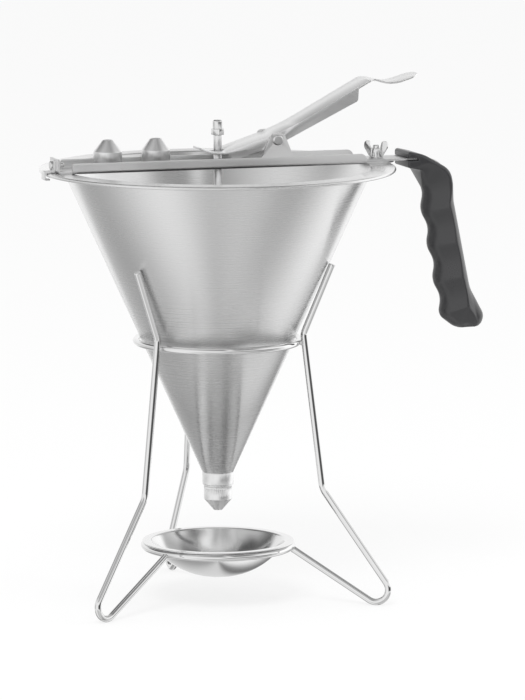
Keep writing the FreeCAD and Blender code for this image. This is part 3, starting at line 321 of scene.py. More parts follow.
def rounded(corners, steps=6):
    """A closed run of corners (x, y, radius) with arcs: each corner is cut back by radius x tan(turn / 2), and the
    arc is middle + cos a x start + sin a x start turned by a quarter."""
    points = np.array([corner[:2] for corner in corners], float)
    radii = [corner[2] if len(corner) > 2 else 0 for corner in corners]
    made = []
    for corner, radius, before, after in zip(points, radii, np.roll(points, 1, 0), np.roll(points, -1, 0)):
        if radius == 0:
            made.append(corner[None])
            continue
        into = (corner - before) / np.linalg.norm(corner - before)
        out = (after - corner) / np.linalg.norm(after - corner)
        turn = math.acos(np.clip(into @ out, -1, 1))
        inward = (out - into) / np.linalg.norm(out - into)
        middle = corner + inward * radius / math.cos(turn / 2)
        start = corner - into * radius * math.tan(turn / 2) - middle
        swing = math.copysign(turn, into[0] * out[1] - into[1] * out[0])
        angle = swing * np.linspace(0, 1, steps + 1)[:, None]
        made.append(middle + np.cos(angle) * start + np.sin(angle) * np.array([-start[1], start[0]]))
    return np.concatenate(made)


def along(points, sideways, radius, sides=20, closed=False):
    """A round wire: at each point of its path, a circle in the plane of two crossways directions."""
    if closed:
        way = np.roll(points, -1, 0) - np.roll(points, 1, 0)
    else:
        way = np.gradient(points, axis=0)
    way /= np.linalg.norm(way, axis=1, keepdims=True)
    other = np.cross(sideways, way)
    other /= np.linalg.norm(other, axis=1, keepdims=True)
    first = np.cross(way, other)
    angle = np.arange(sides) * FULL_TURN / sides
    ring = first[:, None, :] * np.cos(angle)[None, :, None] + other[:, None, :] * np.sin(angle)[None, :, None]
    return points[:, None, :] + ring * np.reshape(radius, (-1, 1, 1))


def with_ends(points, sideways, radius):
    """Doubles the ends of an open wire inward so that it closes with a slightly rounded cut face."""
    tube = along(points, sideways, radius)
    way_in = (points[0] - points[1]) / np.linalg.norm(points[0] - points[1])
    way_out = (points[-1] - points[-2]) / np.linalg.norm(points[-1] - points[-2])
    shares = np.array([1.0, 0.93, 0.78, 0.5, 0.0])
    steps = np.array([0.0, 0.5, 0.8, 0.95, 1.0]) * 0.22 * radius
    start = points[0] + (tube[0] - points[0])[None] * shares[:, None, None] + way_in * steps[:, None, None]
    stop = points[-1] + (tube[-1] - points[-1])[None] * shares[:, None, None] + way_out * steps[:, None, None]
    return np.concatenate([start[::-1], tube, stop])


def softened(node, material, width):
    """A CAD node's own shape, merged from its loose triangles, with its sharp edges broken by a small bevel."""
    mesh = NODES[node].data.copy()
    mesh.name = node + "_soft"
    piece = bpy.data.objects.new(node + "_soft", mesh)
    bpy.context.scene.collection.objects.link(piece)
    work = bmesh.new()
    work.from_mesh(mesh)
    bmesh.ops.remove_doubles(work, verts=work.verts, dist=JOIN_REACH)
    bmesh.ops.dissolve_limit(work, angle_limit=FLAT_TURN, verts=work.verts, edges=work.edges)
    work.to_mesh(mesh)
    work.free()
    mesh.polygons.foreach_set("use_smooth", [True] * len(mesh.polygons))
    bevel = piece.modifiers.new("broken edges", "BEVEL")
    bevel.width = width
    bevel.segments = 2
    bevel.limit_method = "ANGLE"
    bevel.angle_limit = SHARP_TURN
    bevel.use_clamp_overlap = True
    bevel.harden_normals = True
    settle(piece, [node], None, None, material)
    return piece


def material_named(name):
    return bpy.data.materials[name]


# Settings

def length(name, description, default, **limits):
    return bpy.props.FloatProperty(name=name, description=description, default=default, unit="LENGTH",
                                   precision=5, **limits)


def colour(name, description, default):
    return bpy.props.FloatVectorProperty(name=name, description=description, default=default, size=3,
                                         subtype="COLOR", min=0, max=1)


def share(name, description, default):
    return bpy.props.FloatProperty(name=name, description=description, default=default, subtype="FACTOR",
                                   min=0, max=1)


class DispenserFinishes(bpy.types.PropertyGroup):
    cone_colour: colour("Cone", "Satin steel of the funnel", (0.80, 0.80, 0.80))
    # Painted light: the paler colour at the cone's narrow end stands in for reflected light
    cone_foot_colour: colour("Cone foot", "Brighter steel at the cone's narrow end", (0.97, 0.97, 0.97))
    cone_roughness: share("Cone roughness", "How dull the spun steel is", 0.27)
    bar_colour: colour("Bar", "Matt steel of the bar and the lever", (0.78, 0.78, 0.78))
    bar_roughness: share("Bar roughness", "How dull the strip steel is", 0.40)
    lever_colour: colour("Lever", "Pressed sheet of the lever", (0.92, 0.92, 0.92))
    fitting_colour: colour("Fittings", "Turned steel of the nozzles and the rod", (0.88, 0.88, 0.88))
    wire_colour: colour("Wire", "Bright wire of the stand", (0.80, 0.80, 0.80))
    wire_roughness: share("Wire roughness", "How dull the wire is", 0.07)
    small_colour: colour("Small parts", "Turned and pressed small parts", (0.76, 0.76, 0.76))
    grip_colour: colour("Grip", "Moulded plastic of the grip", (0.024, 0.024, 0.026))
    grip_roughness: share("Grip roughness", "How dull the plastic is", 0.31)


class DispenserFunnel(bpy.types.PropertyGroup):
    sheet: length("Sheet", "Thickness of the funnel's sheet", 0.8 * MM)
    rim_width: length("Rim width", "Width of the flat flange", 14.0 * MM)
    bead: length("Bead", "Thickness of the rolled edge", 2.2 * MM)


class DispenserStand(bpy.types.PropertyGroup):
    wire: length("Wire", "Thickness of the stand's wire", 4.2 * MM)
    weld: length("Weld", "Size of the weld where wires cross", 1.9 * MM)
    prong: length("Prong", "Height of the prong's tip over the cradle ring", 48.8 * MM)
    bend_rise: length("Bend", "Height of the prong's bend over the cradle ring", 5.5 * MM)
    knee_reach: length("Knee reach", "From the axis to the knee", 66.0 * MM)
    knee_height: length("Knee height", "Height of the knee", 72.0 * MM)
    foot_reach: length("Foot reach", "From the axis to the foot's outer corner", 115.0 * MM)
    foot_length: length("Foot length", "Between the foot's two corners", 17.5 * MM)
    clearance: length("Clearance", "Between a prong and the cone", 0.25 * MM)


class DispenserDish(bpy.types.PropertyGroup):
    sheet: length("Sheet", "Thickness of the dish's sheet", 0.8 * MM)
    mouth: length("Mouth", "Radius of the bowl's mouth", 42.0 * MM)
    floor: length("Floor", "Radius where the bowl's curve would meet its floor", 26.9 * MM)
    curve: length("Curve", "Radius of the bowl's curve", 46.0 * MM)


class DispenserSpring(bpy.types.PropertyGroup):
    wire: length("Wire", "Thickness of the spring's wire", 1.0 * MM)
    mean: length("Mean radius", "From the spring's axis to the wire's middle", 3.2 * MM)
    turns: bpy.props.FloatProperty(name="Turns", description="Turns of the coil", default=5.5, min=2.5)
    end_pitch: length("End pitch", "Rise of the first and the last turn", 1.5 * MM)
    place: length("Place", "Along the bar from the funnel's axis", 41.0 * MM)


class DispenserGrip(bpy.types.PropertyGroup):
    width: length("Width", "Across the flat sides", 27.0 * MM)
    front_edge: length("Front edge", "Thickness where the finger side's slopes start", 10.0 * MM)
    back_edge: length("Back edge", "Thickness where the back's bevels start", 17.0 * MM)
    scallop: length("Scallop", "How far the finger side's humps stand out", 4.2 * MM)
    slope: bpy.props.FloatProperty(name="Slope", description="Rise of the finger side's slopes", default=0.58, min=0)
    bevel_slope: bpy.props.FloatProperty(name="Bevel", description="Rise of the back's bevels", default=0.86, min=0)
    tail_slope: bpy.props.FloatProperty(name="Tail", description="Fall of the tail behind the spine", default=0.36,
                                        min=0)
    brow_fill: length("Brow", "Added thickness over the brow, where the strip lies inside", 4.5 * MM)


class DispenserStage(bpy.types.PropertyGroup):
    azimuth: bpy.props.FloatProperty(name="Azimuth", description="Camera's turn about the part", unit="ROTATION",
                                     default=math.radians(-17.9))
    elevation: bpy.props.FloatProperty(name="Elevation", description="Camera's angle above the level",
                                       unit="ROTATION", default=math.radians(8.36))
    distance: bpy.props.FloatProperty(name="Distance", description="From the camera to the part's middle",
                                      unit="LENGTH", default=3.188)
    focal: bpy.props.FloatProperty(name="Focal length", description="Of the lens, on a film 36 mm high",
                                   default=265.4, min=10)
    aim_height: length("Aim height", "Height that the camera looks at, on the funnel's axis", 150.0 * MM)
    aim_right: length("Aim right", "Shift of the aim across the picture", 27.59 * MM)
    aim_up: length("Aim up", "Shift of the aim up the picture", 6.28 * MM)


# Pieces

class BATTER_OT_finishes(bpy.types.Operator):
    """Make the metals and the plastic"""
    bl_idname = "batter.finishes"
    bl_label = "Finishes"

    def execute(self, context):
        look = context.scene.dispenser_finishes
        # The cone grows paler towards its narrow end as painted light
        spun_steel("spun cone", look.cone_colour, look.cone_roughness, 0.9, look.cone_foot_colour)
        spun_steel("polished dish", look.cone_colour, 0.16, 0.3)
        spun_steel("turned fittings", look.fitting_colour, 0.36, 0.0)
        drawn_steel("matt strip", look.bar_colour, look.bar_roughness)
        drawn_steel("pressed sheet", look.lever_colour, 0.34)
        polished_wire("bright wire", look.wire_colour, look.wire_roughness)
        polished_wire("plated fasteners", look.small_colour, 0.17)
        moulded_plastic("dark plastic", look.grip_colour, look.grip_roughness)
        return {"FINISHED"}


class BATTER_OT_funnel(bpy.types.Operator):
    """The spun cone with its flange and rolled bead"""
    bl_idname = "batter.funnel"
    bl_label = "Funnel"

    def execute(self, context):
        size = context.scene.dispenser_funnel
        top, bottom = high("funnel_shell", 2), low("funnel_shell", 2)
        rim = high("funnel_shell", 0)
        collar = COLLAR_RADIUS
        cone_top = rim - size.rim_width
        slope = (cone_top - collar) / (top - bottom)
        across = size.sheet * math.sqrt(1 + slope ** 2)
        under = top - size.sheet
        bead_in, bead_low = rim - size.bead, top - size.bead
        bead_round = size.bead * 0.48
        bend = 1.5 * MM
        profile = rounded([
            (collar, bottom),
            (collar + slope * (under - bottom), under, bend + size.sheet),
            (bead_in, under),
            (bead_in, bead_low, bead_round),
            (rim, bead_low, bead_round),
            (rim, top, bead_round),
            (cone_top - across, top, bend),
            (collar - across, bottom),
        ], 8)
        turned_piece("funnel_spun", profile, ["funnel_shell"], material_named("spun cone"), steps=256)
        return {"FINISHED"}


class BATTER_OT_spout(bpy.types.Operator):
    """The turned collar, the nozzles and the posts of the spare ones"""
    bl_idname = "batter.spout"
    bl_label = "Spout and nozzles"

    def execute(self, context):
        steel = material_named("turned fittings")
        for node in ("spout_collar", "nozzle_post_1", "nozzle_post_2"):
            softened(node, steel, 0.00025)
        for node, hole in (("nozzle_fitted", 2.0), ("nozzle_spare_1", 2.5), ("nozzle_spare_2", 2.9)):
            self.nozzle(node, hole * MM, steel, upright=node != "nozzle_fitted")
        return {"FINISHED"}

    def nozzle(self, node, hole, steel, upright):
        """A thimble: skirt, cone and hole as one closed profile about the nozzle's own axis."""
        (x0, y0, z0), (x1, y1, z1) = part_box(node)
        radius, bore, skirt = 8.75 * MM, 7.2 * MM, 9.0 * MM
        height = z1 - z0
        profile = rounded([
            (bore, 0, 0.25 * MM),
            (radius, 0, 0.35 * MM),
            (radius, 0.8 * MM),
            (radius, 0.9 * MM),
            (radius, 2.4 * MM),
            (radius, 2.5 * MM),
            (radius, skirt, 0.6 * MM),
            (hole + 0.6 * MM, height, 0.3 * MM),
            (hole, height, 0.2 * MM),
            (hole, height - 1.3 * MM),
            (bore, skirt + 0.4 * MM),
        ], 4)
        teeth = (z0 + 0.85 * MM, z0 + 2.45 * MM) if upright else (z1 - 2.45 * MM, z1 - 0.85 * MM)
        profile[:, 1] = z0 + profile[:, 1] if upright else z1 - profile[:, 1]
        turned_piece(node + "_turned", profile, [node], steel, ((x0 + x1) / 2, (y0 + y1) / 2), 288,
                     (*teeth, 48, 0.35 * MM))


class BATTER_OT_stand(bpy.types.Operator):
    """Two rings and three bent legs of bright wire, with their welds"""
    bl_idname = "batter.stand"
    bl_label = "Wire stand"

    def execute(self, context):
        size = context.scene.dispenser_stand
        wire = material_named("bright wire")
        radius = size.wire / 2
        for node in ("cradle_ring", "dish_ring"):
            middle = (low(node, 2) + high(node, 2)) / 2
            angle = np.arange(240) * FULL_TURN / 240
            reach = high(node, 0) - radius
            path = np.stack([reach * np.cos(angle), reach * np.sin(angle), middle + 0 * angle], axis=-1)
            tube = along(path, np.array([0.0, 0.0, 1.0]), radius, 24, closed=True)
            new_piece(node + "_wire", tube, grid_faces(240, 24, True, True), [node], material=wire)
        cradle = high("cradle_ring", 0) - radius
        cradle_height = (low("cradle_ring", 2) + high("cradle_ring", 2)) / 2
        dish = high("dish_ring", 0) - radius
        dish_height = (low("dish_ring", 2) + high("dish_ring", 2)) / 2
        for order, node in enumerate(("leg_rear", "leg_front_left", "leg_front_right")):
            turn = math.radians(90 + 120 * order)
            side = self.leg_path(size, cradle, cradle_height, dish, dish_height)
            outward = np.array([math.cos(turn), math.sin(turn), 0.0])
            path = side[:, 0:1] * outward + side[:, 1:2] * np.array([0.0, 0.0, 1.0])
            sideways = np.cross(outward, (0, 0, 1))
            tube = with_ends(path, sideways, radius)
            new_piece(node + "_wire", tube, grid_faces(*tube.shape[:2], False, True), [node], material=wire)
            beside = self.radius_at(side, cradle_height)
            self.weld(f"{node}_cradle_weld", outward * (cradle + beside) / 2, cradle_height, outward, size.weld, wire)
            inner = outward * (dish + radius * 0.8)
            self.weld(f"{node}_dish_weld", inner, dish_height - radius * 0.8, outward, size.weld, wire)
        return {"FINISHED"}

    def radius_at(self, side, height):
        upper = side[:len(side) // 2]
        order = np.argsort(upper[:, 1])
        return float(np.interp(height, upper[order, 1], upper[order, 0]))

    def leg_path(self, size, cradle, cradle_height, dish, dish_height):
        """The leg's bends in its own upright plane, with each straight run divided for even shading."""
        funnel = bpy.context.scene.dispenser_funnel
        radius = size.wire / 2
        cone_foot, cone_top = low("funnel_shell", 2), high("funnel_shell", 2)
        slope = (high("funnel_shell", 0) - funnel.rim_width - COLLAR_RADIUS) / (cone_top - cone_foot)
        slant = math.sqrt(1 + slope ** 2)
        prong = cradle_height + size.prong
        tip = COLLAR_RADIUS + slope * (prong - cone_foot) + (radius + size.clearance) * slant
        run = cradle_height - size.knee_height
        lean = (size.knee_reach - cradle - 2 * radius) / run
        beside = cradle + (2 * radius + 0.05 * MM) * math.sqrt(1 + lean ** 2)
        leg_slope = (size.knee_reach - beside) / run
        inner = size.foot_reach - size.foot_length
        rise, inward = dish_height - radius, inner - dish
        stop = (radius + 0.1 * MM) / math.hypot(rise, inward)
        corners = rounded([
            (tip, prong),
            (beside - size.bend_rise * leg_slope, cradle_height + size.bend_rise, 9 * MM),
            (size.knee_reach, size.knee_height, 14 * MM),
            (size.foot_reach, radius, 8 * MM),
            (inner, radius, 8 * MM),
            (dish + inward * stop, dish_height - rise * stop),
        ], 14)
        gaps = np.linalg.norm(np.diff(corners, axis=0), axis=1)
        reach = np.concatenate([[0], np.cumsum(gaps)])
        even = np.linspace(0, reach[-1], 400)
        return np.stack([np.interp(even, reach, corners[:, 0]), np.interp(even, reach, corners[:, 1])], axis=-1)

    def weld(self, name, where, height, outward, size, wire):
        """A small lens of weld metal: a ball squashed along the wire, its skin raised in low waves."""
        steps, rounds = 14, 22
        lift = np.linspace(-math.pi / 2, math.pi / 2, steps)[:, None]
        angle = (np.arange(rounds) * FULL_TURN / rounds)[None, :]
        wave = 1 + 0.05 * np.cos(4 * angle) * np.cos(lift)
        x, y, z = np.cos(lift) * np.cos(angle) * wave, np.cos(lift) * np.sin(angle) * wave, np.sin(lift) * wave
        across = np.cross(outward, (0, 0, 1))
        points = (x[..., None] * outward * size * 0.8 + y[..., None] * across * size * 1.1
                  + z[..., None] * np.array([0, 0, size * 0.95]))
        points = points + np.array([where[0], where[1], height])
        new_piece(name, points, grid_faces(steps, rounds, False, True), body="stand", slot="wire", material=wire)


class BATTER_OT_dish(bpy.types.Operator):
    """The drip dish, a shallow spun bowl with a flat rim"""
    bl_idname = "batter.dish"
    bl_label = "Drip dish"

    def execute(self, context):
        size = context.scene.dispenser_dish
        sheet, mouth, floor, curve = size.sheet, size.mouth, size.floor, size.curve
        bottom, top, rim = low("drip_dish", 2), high("drip_dish", 2), high("drip_dish", 0)
        seat = top - sheet
        profile = rounded([
            (0, bottom),
            (floor, bottom, curve),
            (mouth, seat, 1.2 * MM),
            (rim, seat, 0.3 * MM),
            (rim, top, 0.3 * MM),
            (mouth - sheet / 2, top, 2.0 * MM),
            (floor - sheet / 2, bottom + sheet, curve - sheet),
            (0, bottom + sheet),
        ], 16)
        turned_piece("drip_dish_spun", profile, ["drip_dish"], material_named("polished dish"), steps=192)
        return {"FINISHED"}


class BATTER_OT_bar(bpy.types.Operator):
    """The folded bar, the lever, the grip's strip and the rim clip"""
    bl_idname = "batter.bar"
    bl_label = "Bar and lever"

    def execute(self, context):
        for node, steel, width in (("cross_bar", "matt strip", 0.3), ("lever", "pressed sheet", 0.45),
                                   ("handle_strip", "matt strip", 0.3), ("rim_clip", "pressed sheet", 0.2)):
            softened(node, material_named(steel), width * MM)
        return {"FINISHED"}


class BATTER_OT_fasteners(bpy.types.Operator):
    """Stud, wing nut, clip screw and nut, pin and retaining rings"""
    bl_idname = "batter.fasteners"
    bl_label = "Fasteners"

    def execute(self, context):
        for node in ("rim_stud", "wing_nut", "clip_screw", "clip_nut", "pin_ring", "rod_ring", "rod_cap_nut"):
            softened(node, material_named("plated fasteners"), 0.2 * MM)
        softened("pivot_pin", material_named("turned fittings"), 0.2 * MM)
        return {"FINISHED"}


class BATTER_OT_valve(bpy.types.Operator):
    """The valve rod and its plug"""
    bl_idname = "batter.valve"
    bl_label = "Valve rod"

    def execute(self, context):
        softened("valve_rod", material_named("turned fittings"), 0.0002)
        softened("valve_plug", material_named("turned fittings"), 0.0002)
        return {"FINISHED"}


class BATTER_OT_spring(bpy.types.Operator):
    """The return spring under the lever"""
    bl_idname = "batter.spring"
    bl_label = "Return spring"

    def execute(self, context):
        size = context.scene.dispenser_spring
        foot, top = low("return_spring", 2), high("return_spring", 2)
        wire, turns, end_pitch = size.wire, size.turns, size.end_pitch
        turn = np.linspace(0, turns, 240)
        middle_pitch = (top - foot - wire - 2 * end_pitch) / (turns - 2)
        climb = (np.minimum(turn, 1) * end_pitch
                 + np.maximum(0, np.minimum(turn, turns - 1) - 1) * middle_pitch
                 + np.maximum(0, turn - (turns - 1)) * end_pitch)
        angle = FULL_TURN * turn
        path = np.stack([size.place + size.mean * np.cos(angle), size.mean * np.sin(angle), foot + wire / 2 + climb],
                        axis=-1)
        tube = with_ends(path, np.array([0.0, 0.0, 1.0]), wire / 2)
        piece = new_piece("return_spring_wound", tube, grid_faces(*tube.shape[:2], False, True),
                          ["return_spring"], material=material_named("plated fasteners"))
        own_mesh(piece)
        return {"FINISHED"}


class BATTER_OT_grip(bpy.types.Operator):
    """The moulded grip: two lips on the strip, flat sides, a sloped and scalloped finger side, a bevelled back"""
    bl_idname = "batter.grip"
    bl_label = "Grip"

    def execute(self, context):
        size = context.scene.dispenser_grip
        front, back, starts, ends = self.outline(size)
        rows = np.array(SPAN_ROWS)
        near = self.matched(front, starts, rows)
        far = self.matched(back, ends, rows)
        spots = self.chords(near, far)
        thick = self.thickness(spots, front, back, rows, size)
        stud = (low("rim_stud", 0) + high("rim_stud", 0)) / 2
        rim = high("funnel_shell", 2)
        upright = spots * MM + (stud, rim)
        side = np.stack([upright[..., 0], -thick * MM, upright[..., 1]], axis=-1)
        other = side[:, ::-1] * (1, -1, 1)
        points = np.concatenate([side, other], axis=1)
        count, around = points.shape[:2]
        column = np.arange(around // 2 - 1)
        cap = np.stack([column, column + 1, around - 2 - column, around - 1 - column], axis=-1)
        faces = np.concatenate([grid_faces(count, around, False, True), cap, cap + (count - 1) * around])
        new_piece("grip_moulded", points, faces, ["handle_grip"], material=material_named("dark plastic"))
        return {"FINISHED"}

    def outline(self, size):
        """The side view in mm, as reach from the stud and rise from the rim: a front line from the mouth round
        the lower lip and down the fingers, a back line over the brow, and where the two are matched."""
        lip, throat, above, below = 16.8, 23.3, 2.5, 1.1
        down = 11.0 * np.arange(7)
        scallop = np.where(np.arange(7) % 2, size.scallop / MM, 0.0)
        fingers = [(31.2 + 0.185 * d - s, -20.5 - d, 13.5) for d, s in zip(down, scallop)]
        heel_end, tail_end = (58.6, -106.27), (64.4, -105.68)
        front = rounded([
            (lip, above), (throat, above), (throat, below), (lip, below), (lip, -3.4, 1.3), (25.4, -5.0, 4.5),
            *fingers, (41.6, -98.0, 7.0), (53.4, -106.8, 12.0), heel_end], 10)
        back = rounded([(lip, 5.0), (lip, 6.9, 1.5), (27.5, 4.6, 26.0), (45.6, -5.7, 13.0), (60.6, -80.5, 22.0),
                        (75.0, -104.6, 6.5), tail_end], 12)
        starts = [(lip, above), (throat, above), (throat, below), (lip, below), (lip, -3.4), (25.4, -5.0),
                  (31.4, -20.5), (33.9, -53.5), (43.6, -86.5), (42.4, -97.5), (53.4, -106.0), heel_end]
        ends = [(lip, 5.0), (25.5, 5.1), (36.0, -0.2), (40.5, -2.8), (43.5, -4.6), (47.5, -14.0),
                (49.3, -24.0), (55.5, -55.0), (61.5, -82.0), (66.5, -90.5), (73.5, -102.0), tail_end]
        return front, back, starts, ends

    def matched(self, path, stations, rows):
        """Points spread evenly by length between each station on a path and the next."""
        length = np.concatenate([[0], np.cumsum(np.linalg.norm(np.diff(path, axis=0), axis=1))])
        fine = np.linspace(0, length[-1], 2000)
        walk = np.stack([np.interp(fine, length, path[:, 0]), np.interp(fine, length, path[:, 1])], axis=-1)
        marks = fine[np.argmin(np.linalg.norm(walk[:, None] - np.array(stations)[None], axis=-1), axis=0)]
        spread = np.interp(np.arange(rows.sum() + 1), np.concatenate([[0], np.cumsum(rows)]), marks)
        return np.stack([np.interp(spread, length, path[:, 0]), np.interp(spread, length, path[:, 1])], axis=-1)

    def chords(self, near, far):
        """Columns from front to back: close together at both edges, evenly spread between them."""
        gap = np.linalg.norm(far - near, axis=1, keepdims=True)
        edge = np.array(EDGE_STEPS)[None, :] * np.minimum(1, gap / (3.0 * EDGE_STEPS[-1]))
        first, last = edge, gap - edge[:, ::-1]
        share = np.linspace(0, 1, 20)[None, 1:-1]
        middle = first[:, -1:] + (last[:, :1] - first[:, -1:]) * share
        along_chord = np.concatenate([first, middle, last], axis=1) / np.maximum(gap, 1e-9)
        return near[:, None, :] + (far - near)[:, None, :] * along_chord[..., None]

    def away(self, spots, path):
        """Least distance from each spot to the straight runs of a path."""
        start, run = path[:-1], np.diff(path, axis=0)
        to_spot = spots[..., None, :] - start
        share = np.clip((to_spot * run).sum(-1) / np.maximum((run ** 2).sum(-1), 1e-12), 0, 1)
        return np.linalg.norm(to_spot - share[..., None] * run, axis=-1).min(-1)

    def thickness(self, spots, front, back, rows, size):
        """Half the thickness in mm: the least of the flat side, a slope that rises with the distance from the
        finger edge and a bevel that falls towards the back line, blended softly, less a quarter circle's drop
        within the edge radius of the outline. The bevel fades out over the brow, where the strip lies inside."""
        flat = size.width / 2 / MM
        fingers = front[(front[:, 1] < -12.5)]
        slope = size.front_edge / 2 / MM + size.slope * self.away(spots, fingers)
        spine = np.array([(10.0, 8.4), (27.5, 4.6), (45.6, -5.7), (60.6, -80.5), (66.6, -112.0)])
        beyond = (spots[..., 1] < -60) & (spots[..., 0] > np.interp(-spots[..., 1], -spine[:, 1], spine[:, 0]))
        inside = self.away(spots, spine)
        bevel = size.back_edge / 2 / MM + np.where(beyond, -size.tail_slope * inside, size.bevel_slope * inside)
        brow = np.clip((spots[..., 1] + 26) / 12, 0, 1)
        bevel = bevel + brow * size.brow_fill / MM
        form = self.blend(self.blend(flat, slope, 1.2), bevel, 0.7)
        place = np.arange(rows.sum() + 1)
        marks = np.concatenate([[0], np.cumsum(rows)])
        front_round = np.interp(place, marks, FRONT_ROUND)[:, None]
        back_round = np.interp(place, marks, BACK_ROUND)[:, None]
        edge = np.concatenate([back[:1], front, back[-1:]])
        drop = np.maximum(self.drop(self.away(spots, edge), front_round),
                          self.drop(self.away(spots, back), back_round))
        return form - drop

    def blend(self, first, second, width):
        """The lesser of two forms, with their crossing rounded over a width."""
        share = np.clip(0.5 + 0.5 * (second - first) / width, 0, 1)
        return second * (1 - share) + first * share - width * share * (1 - share)

    def drop(self, distance, radius):
        inward = np.clip(radius - distance, 0, radius)
        return radius - np.sqrt(radius ** 2 - inward ** 2)


# The grip's rows between matched places, its columns at each edge in mm, and the rounding of its edges in mm
SPAN_ROWS = (22, 10, 22, 12, 14, 26, 44, 44, 20, 18, 14)
EDGE_STEPS = (0.0, 0.12, 0.4, 0.9, 1.6, 2.4, 3.3, 4.3)
FRONT_ROUND = (0.8, 0.5, 0.5, 0.8, 1.2, 2.2, 4.6, 4.8, 4.8, 4.8, 4.4, 3.6)
BACK_ROUND = (1.2, 2.0, 2.4, 2.6, 2.8, 4.0, 5.0, 5.0, 5.0, 5.2, 5.4, 4.6)


class BATTER_OT_stage(bpy.types.Operator):
    """Floor, studio light and camera"""
    bl_idname = "batter.stage"
    bl_label = "Stage"

    def execute(self, context):
        scene = context.scene
        self.floor()
        self.sky(scene)
        self.lamp("key", (-0.9, -1.5, 2.2), (0, 0, 0.15), 26, 1.1)
        self.lamp("fill", (1.8, -1.2, 1.4), (0, 0, 0.15), 9, 1.4)
        self.camera(scene)
        scene.view_settings.view_transform = "Standard"
        return {"FINISHED"}

    def floor(self):
        """One wide flat plane: nearly white to the camera, hidden from the metal, and it keeps the soft shadow."""
        half = 6.0
        points = np.array([(-half, -half, 0), (half, -half, 0), (half, half, 0), (-half, half, 0)])
        mesh = bpy.data.meshes.new("floor")
        mesh.from_pydata(points.tolist(), [], [(0, 1, 2, 3)])
        floor = bpy.data.objects.new("floor", mesh)
        bpy.context.scene.collection.objects.link(floor)
        floor.visible_glossy = False
        finish = Finish("pale floor")
        ray = finish.tree.nodes.new("ShaderNodeLightPath")
        seen = Signal(finish, ray.outputs["Is Camera Ray"]) + Signal(finish, ray.outputs["Is Glossy Ray"])
        seen = seen + Signal(finish, ray.outputs["Is Transmission Ray"])
        matt = finish.node("BsdfDiffuse", {}, Color=(0.90, 0.90, 0.90, 1))
        glow = finish.node("Emission", {}, Color=(1, 1, 1, 1), Strength=1.0)
        blend = finish.tree.nodes.new("ShaderNodeMixShader")
        finish.feed(blend.inputs[0], (seen * 0.74).clamped())
        finish.tree.links.new(matt.socket, blend.inputs[1])
        finish.tree.links.new(glow.socket, blend.inputs[2])
        finish.surface(Signal(finish, blend.outputs[0]))
        mesh.materials.append(finish.block)

    def sky(self, scene):
        """White to the camera. To the metal it is a white room with soft grey panels: a low set where the cone
        looks, a narrow dark set level with the part, and a set over the camera for the inside of the bowls."""
        finish = Finish("studio room", world=True)
        way = finish.node("TexCoord", {}, out="Generated")
        x, y, z = finish.parts(way)
        front = scene.dispenser_stage.azimuth / FULL_TURN + 0.75
        side = finish.node("Math", {"operation": "ARCTAN2"}, y, x) / FULL_TURN - front + 1.5
        around = finish.node("Math", {"operation": "FRACT"}, side)
        room = finish.panels_at(around, LOWER_PANELS)
        for panels, start, full in ((BACK_PANELS, -0.40, -0.30), (LEVEL_PANELS, -0.28, -0.22),
                                    (BACK_PANELS, 0.02, 0.10), (UPPER_PANELS, 0.36, 0.46), (TOP_PANELS, 0.68, 0.78)):
            height = finish.node("MapRange", {"clamp": True}, z, start, full, 0.0, 1.0)
            room = finish.blended(height, room, finish.panels_at(around, panels))
        ray = finish.tree.nodes.new("ShaderNodeLightPath")
        matt = Signal(finish, ray.outputs["Is Diffuse Ray"])
        camera = Signal(finish, ray.outputs["Is Camera Ray"])
        room = finish.blended(matt, room, (0.88, 0.88, 0.88, 1))
        room = finish.blended(camera, room, (1, 1, 1, 1))
        scene.world = finish.surface(finish.node("Background", {}, Color=room, Strength=1.0))

    def lamp(self, name, spot, target, power, size):
        light = bpy.data.lights.new(name, "AREA")
        light.energy = power
        light.size = size
        lamp = bpy.data.objects.new(name, light)
        lamp.location = spot
        lamp.visible_glossy = False
        lamp.rotation_euler = (Vector(target) - Vector(spot)).to_track_quat("-Z", "Y").to_euler()
        bpy.context.scene.collection.objects.link(lamp)

    def camera(self, scene):
        """The photograph's view: back along the azimuth and elevation from the point at the picture's middle."""
        stage = scene.dispenser_stage
        a, e = stage.azimuth, stage.elevation
        back = Vector((math.sin(a) * math.cos(e), -math.cos(a) * math.cos(e), math.sin(e)))
        right = Vector((math.cos(a), math.sin(a), 0))
        up = back.cross(right)
        target = Vector((0, 0, stage.aim_height)) + right * stage.aim_right + up * stage.aim_up
        lens = bpy.data.cameras.new("camera")
        lens.sensor_fit = "VERTICAL"
        lens.sensor_height = 36
        lens.lens = stage.focal
        lens.clip_end = 50
        camera = bpy.data.objects.new("camera", lens)
        camera.matrix_world = Matrix.Translation(target + back * stage.distance) @ Matrix(
            (right, up, back)).transposed().to_4x4()
        scene.collection.objects.link(camera)
        scene.camera = camera


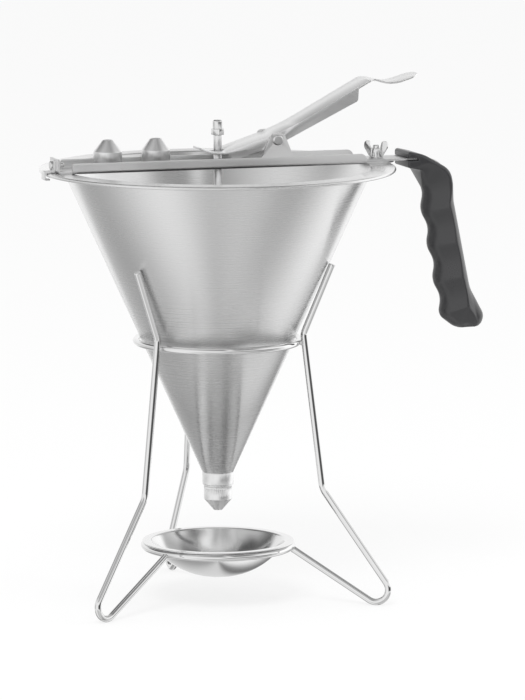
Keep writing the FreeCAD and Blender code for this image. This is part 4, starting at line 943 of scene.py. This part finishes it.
# Studio panels that the metal sees: degrees round the room from the camera's side, to the right, and brightness.
# White panels stand left of the camera and behind the part to the right, grey flats between them.
LEVEL_PANELS = [(-180, 1.0), (-90, 0.6), (-60, 1.0), (0, 1.0), (20, 0.1), (80, 0.1), (110, 1.2), (180, 1.0)]
BACK_PANELS = [(-180, 1.0), (-90, 0.9), (0, 1.0), (50, 0.9), (120, 1.3), (180, 1.0)]
LOWER_PANELS = [(-180, 0.8), (-130, 0.4), (-60, 1.0), (-10, 0.6), (40, 0.7), (80, 0.4), (130, 1.1), (170, 0.2),
                (180, 0.8)]
UPPER_PANELS = [(-180, 0.8), (-130, 0.1), (-60, 0.9), (10, 0.4), (20, 1.0), (30, 0.4), (50, 0.4), (80, 1.0),
                (130, 0.5), (180, 0.8)]
TOP_PANELS = [(-180, 0.3), (-110, 0.1), (-60, 0.6), (10, 0.3), (20, 0.9), (30, 0.2), (60, 0.2), (90, 0.5),
              (130, 0.2), (180, 0.3)]

GROUPS = {
    "dispenser_finishes": DispenserFinishes,
    "dispenser_funnel": DispenserFunnel,
    "dispenser_stand": DispenserStand,
    "dispenser_dish": DispenserDish,
    "dispenser_spring": DispenserSpring,
    "dispenser_grip": DispenserGrip,
    "dispenser_stage": DispenserStage,
}
STEPS = (BATTER_OT_finishes, BATTER_OT_funnel, BATTER_OT_spout, BATTER_OT_stand, BATTER_OT_dish, BATTER_OT_bar,
         BATTER_OT_fasteners, BATTER_OT_valve, BATTER_OT_spring, BATTER_OT_grip, BATTER_OT_stage)


class BATTER_PT_panel(bpy.types.Panel):
    """Sizes and finishes of the dispenser, and a button for each group of pieces"""
    bl_label = "Batter dispenser"
    bl_idname = "BATTER_PT_panel"
    bl_space_type = "VIEW_3D"
    bl_region_type = "UI"
    bl_category = "Dispenser"

    def draw(self, context):
        for group in GROUPS:
            settings = getattr(context.scene, group)
            box = self.layout.box()
            for prop in settings.bl_rna.properties:
                if prop.identifier not in ("rna_type", "name"):
                    box.prop(settings, prop.identifier)
        for step in STEPS:
            self.layout.operator(step.bl_idname)


def register():
    """Adds the settings, the operators and the panel."""
    for item in (*GROUPS.values(), *STEPS, BATTER_PT_panel):
        bpy.utils.register_class(item)
    for name, group in GROUPS.items():
        setattr(bpy.types.Scene, name, bpy.props.PointerProperty(type=group))


def unregister():
    """Takes the settings, the operators and the panel away again."""
    for name in GROUPS:
        delattr(bpy.types.Scene, name)
    for item in reversed((*GROUPS.values(), *STEPS, BATTER_PT_panel)):
        bpy.utils.unregister_class(item)


def main():
    """Builds every group of pieces in turn."""
    register()
    for step in STEPS:
        getattr(bpy.ops.batter, step.bl_idname.split(".")[1])()


if __name__ == "__main__":
    main()
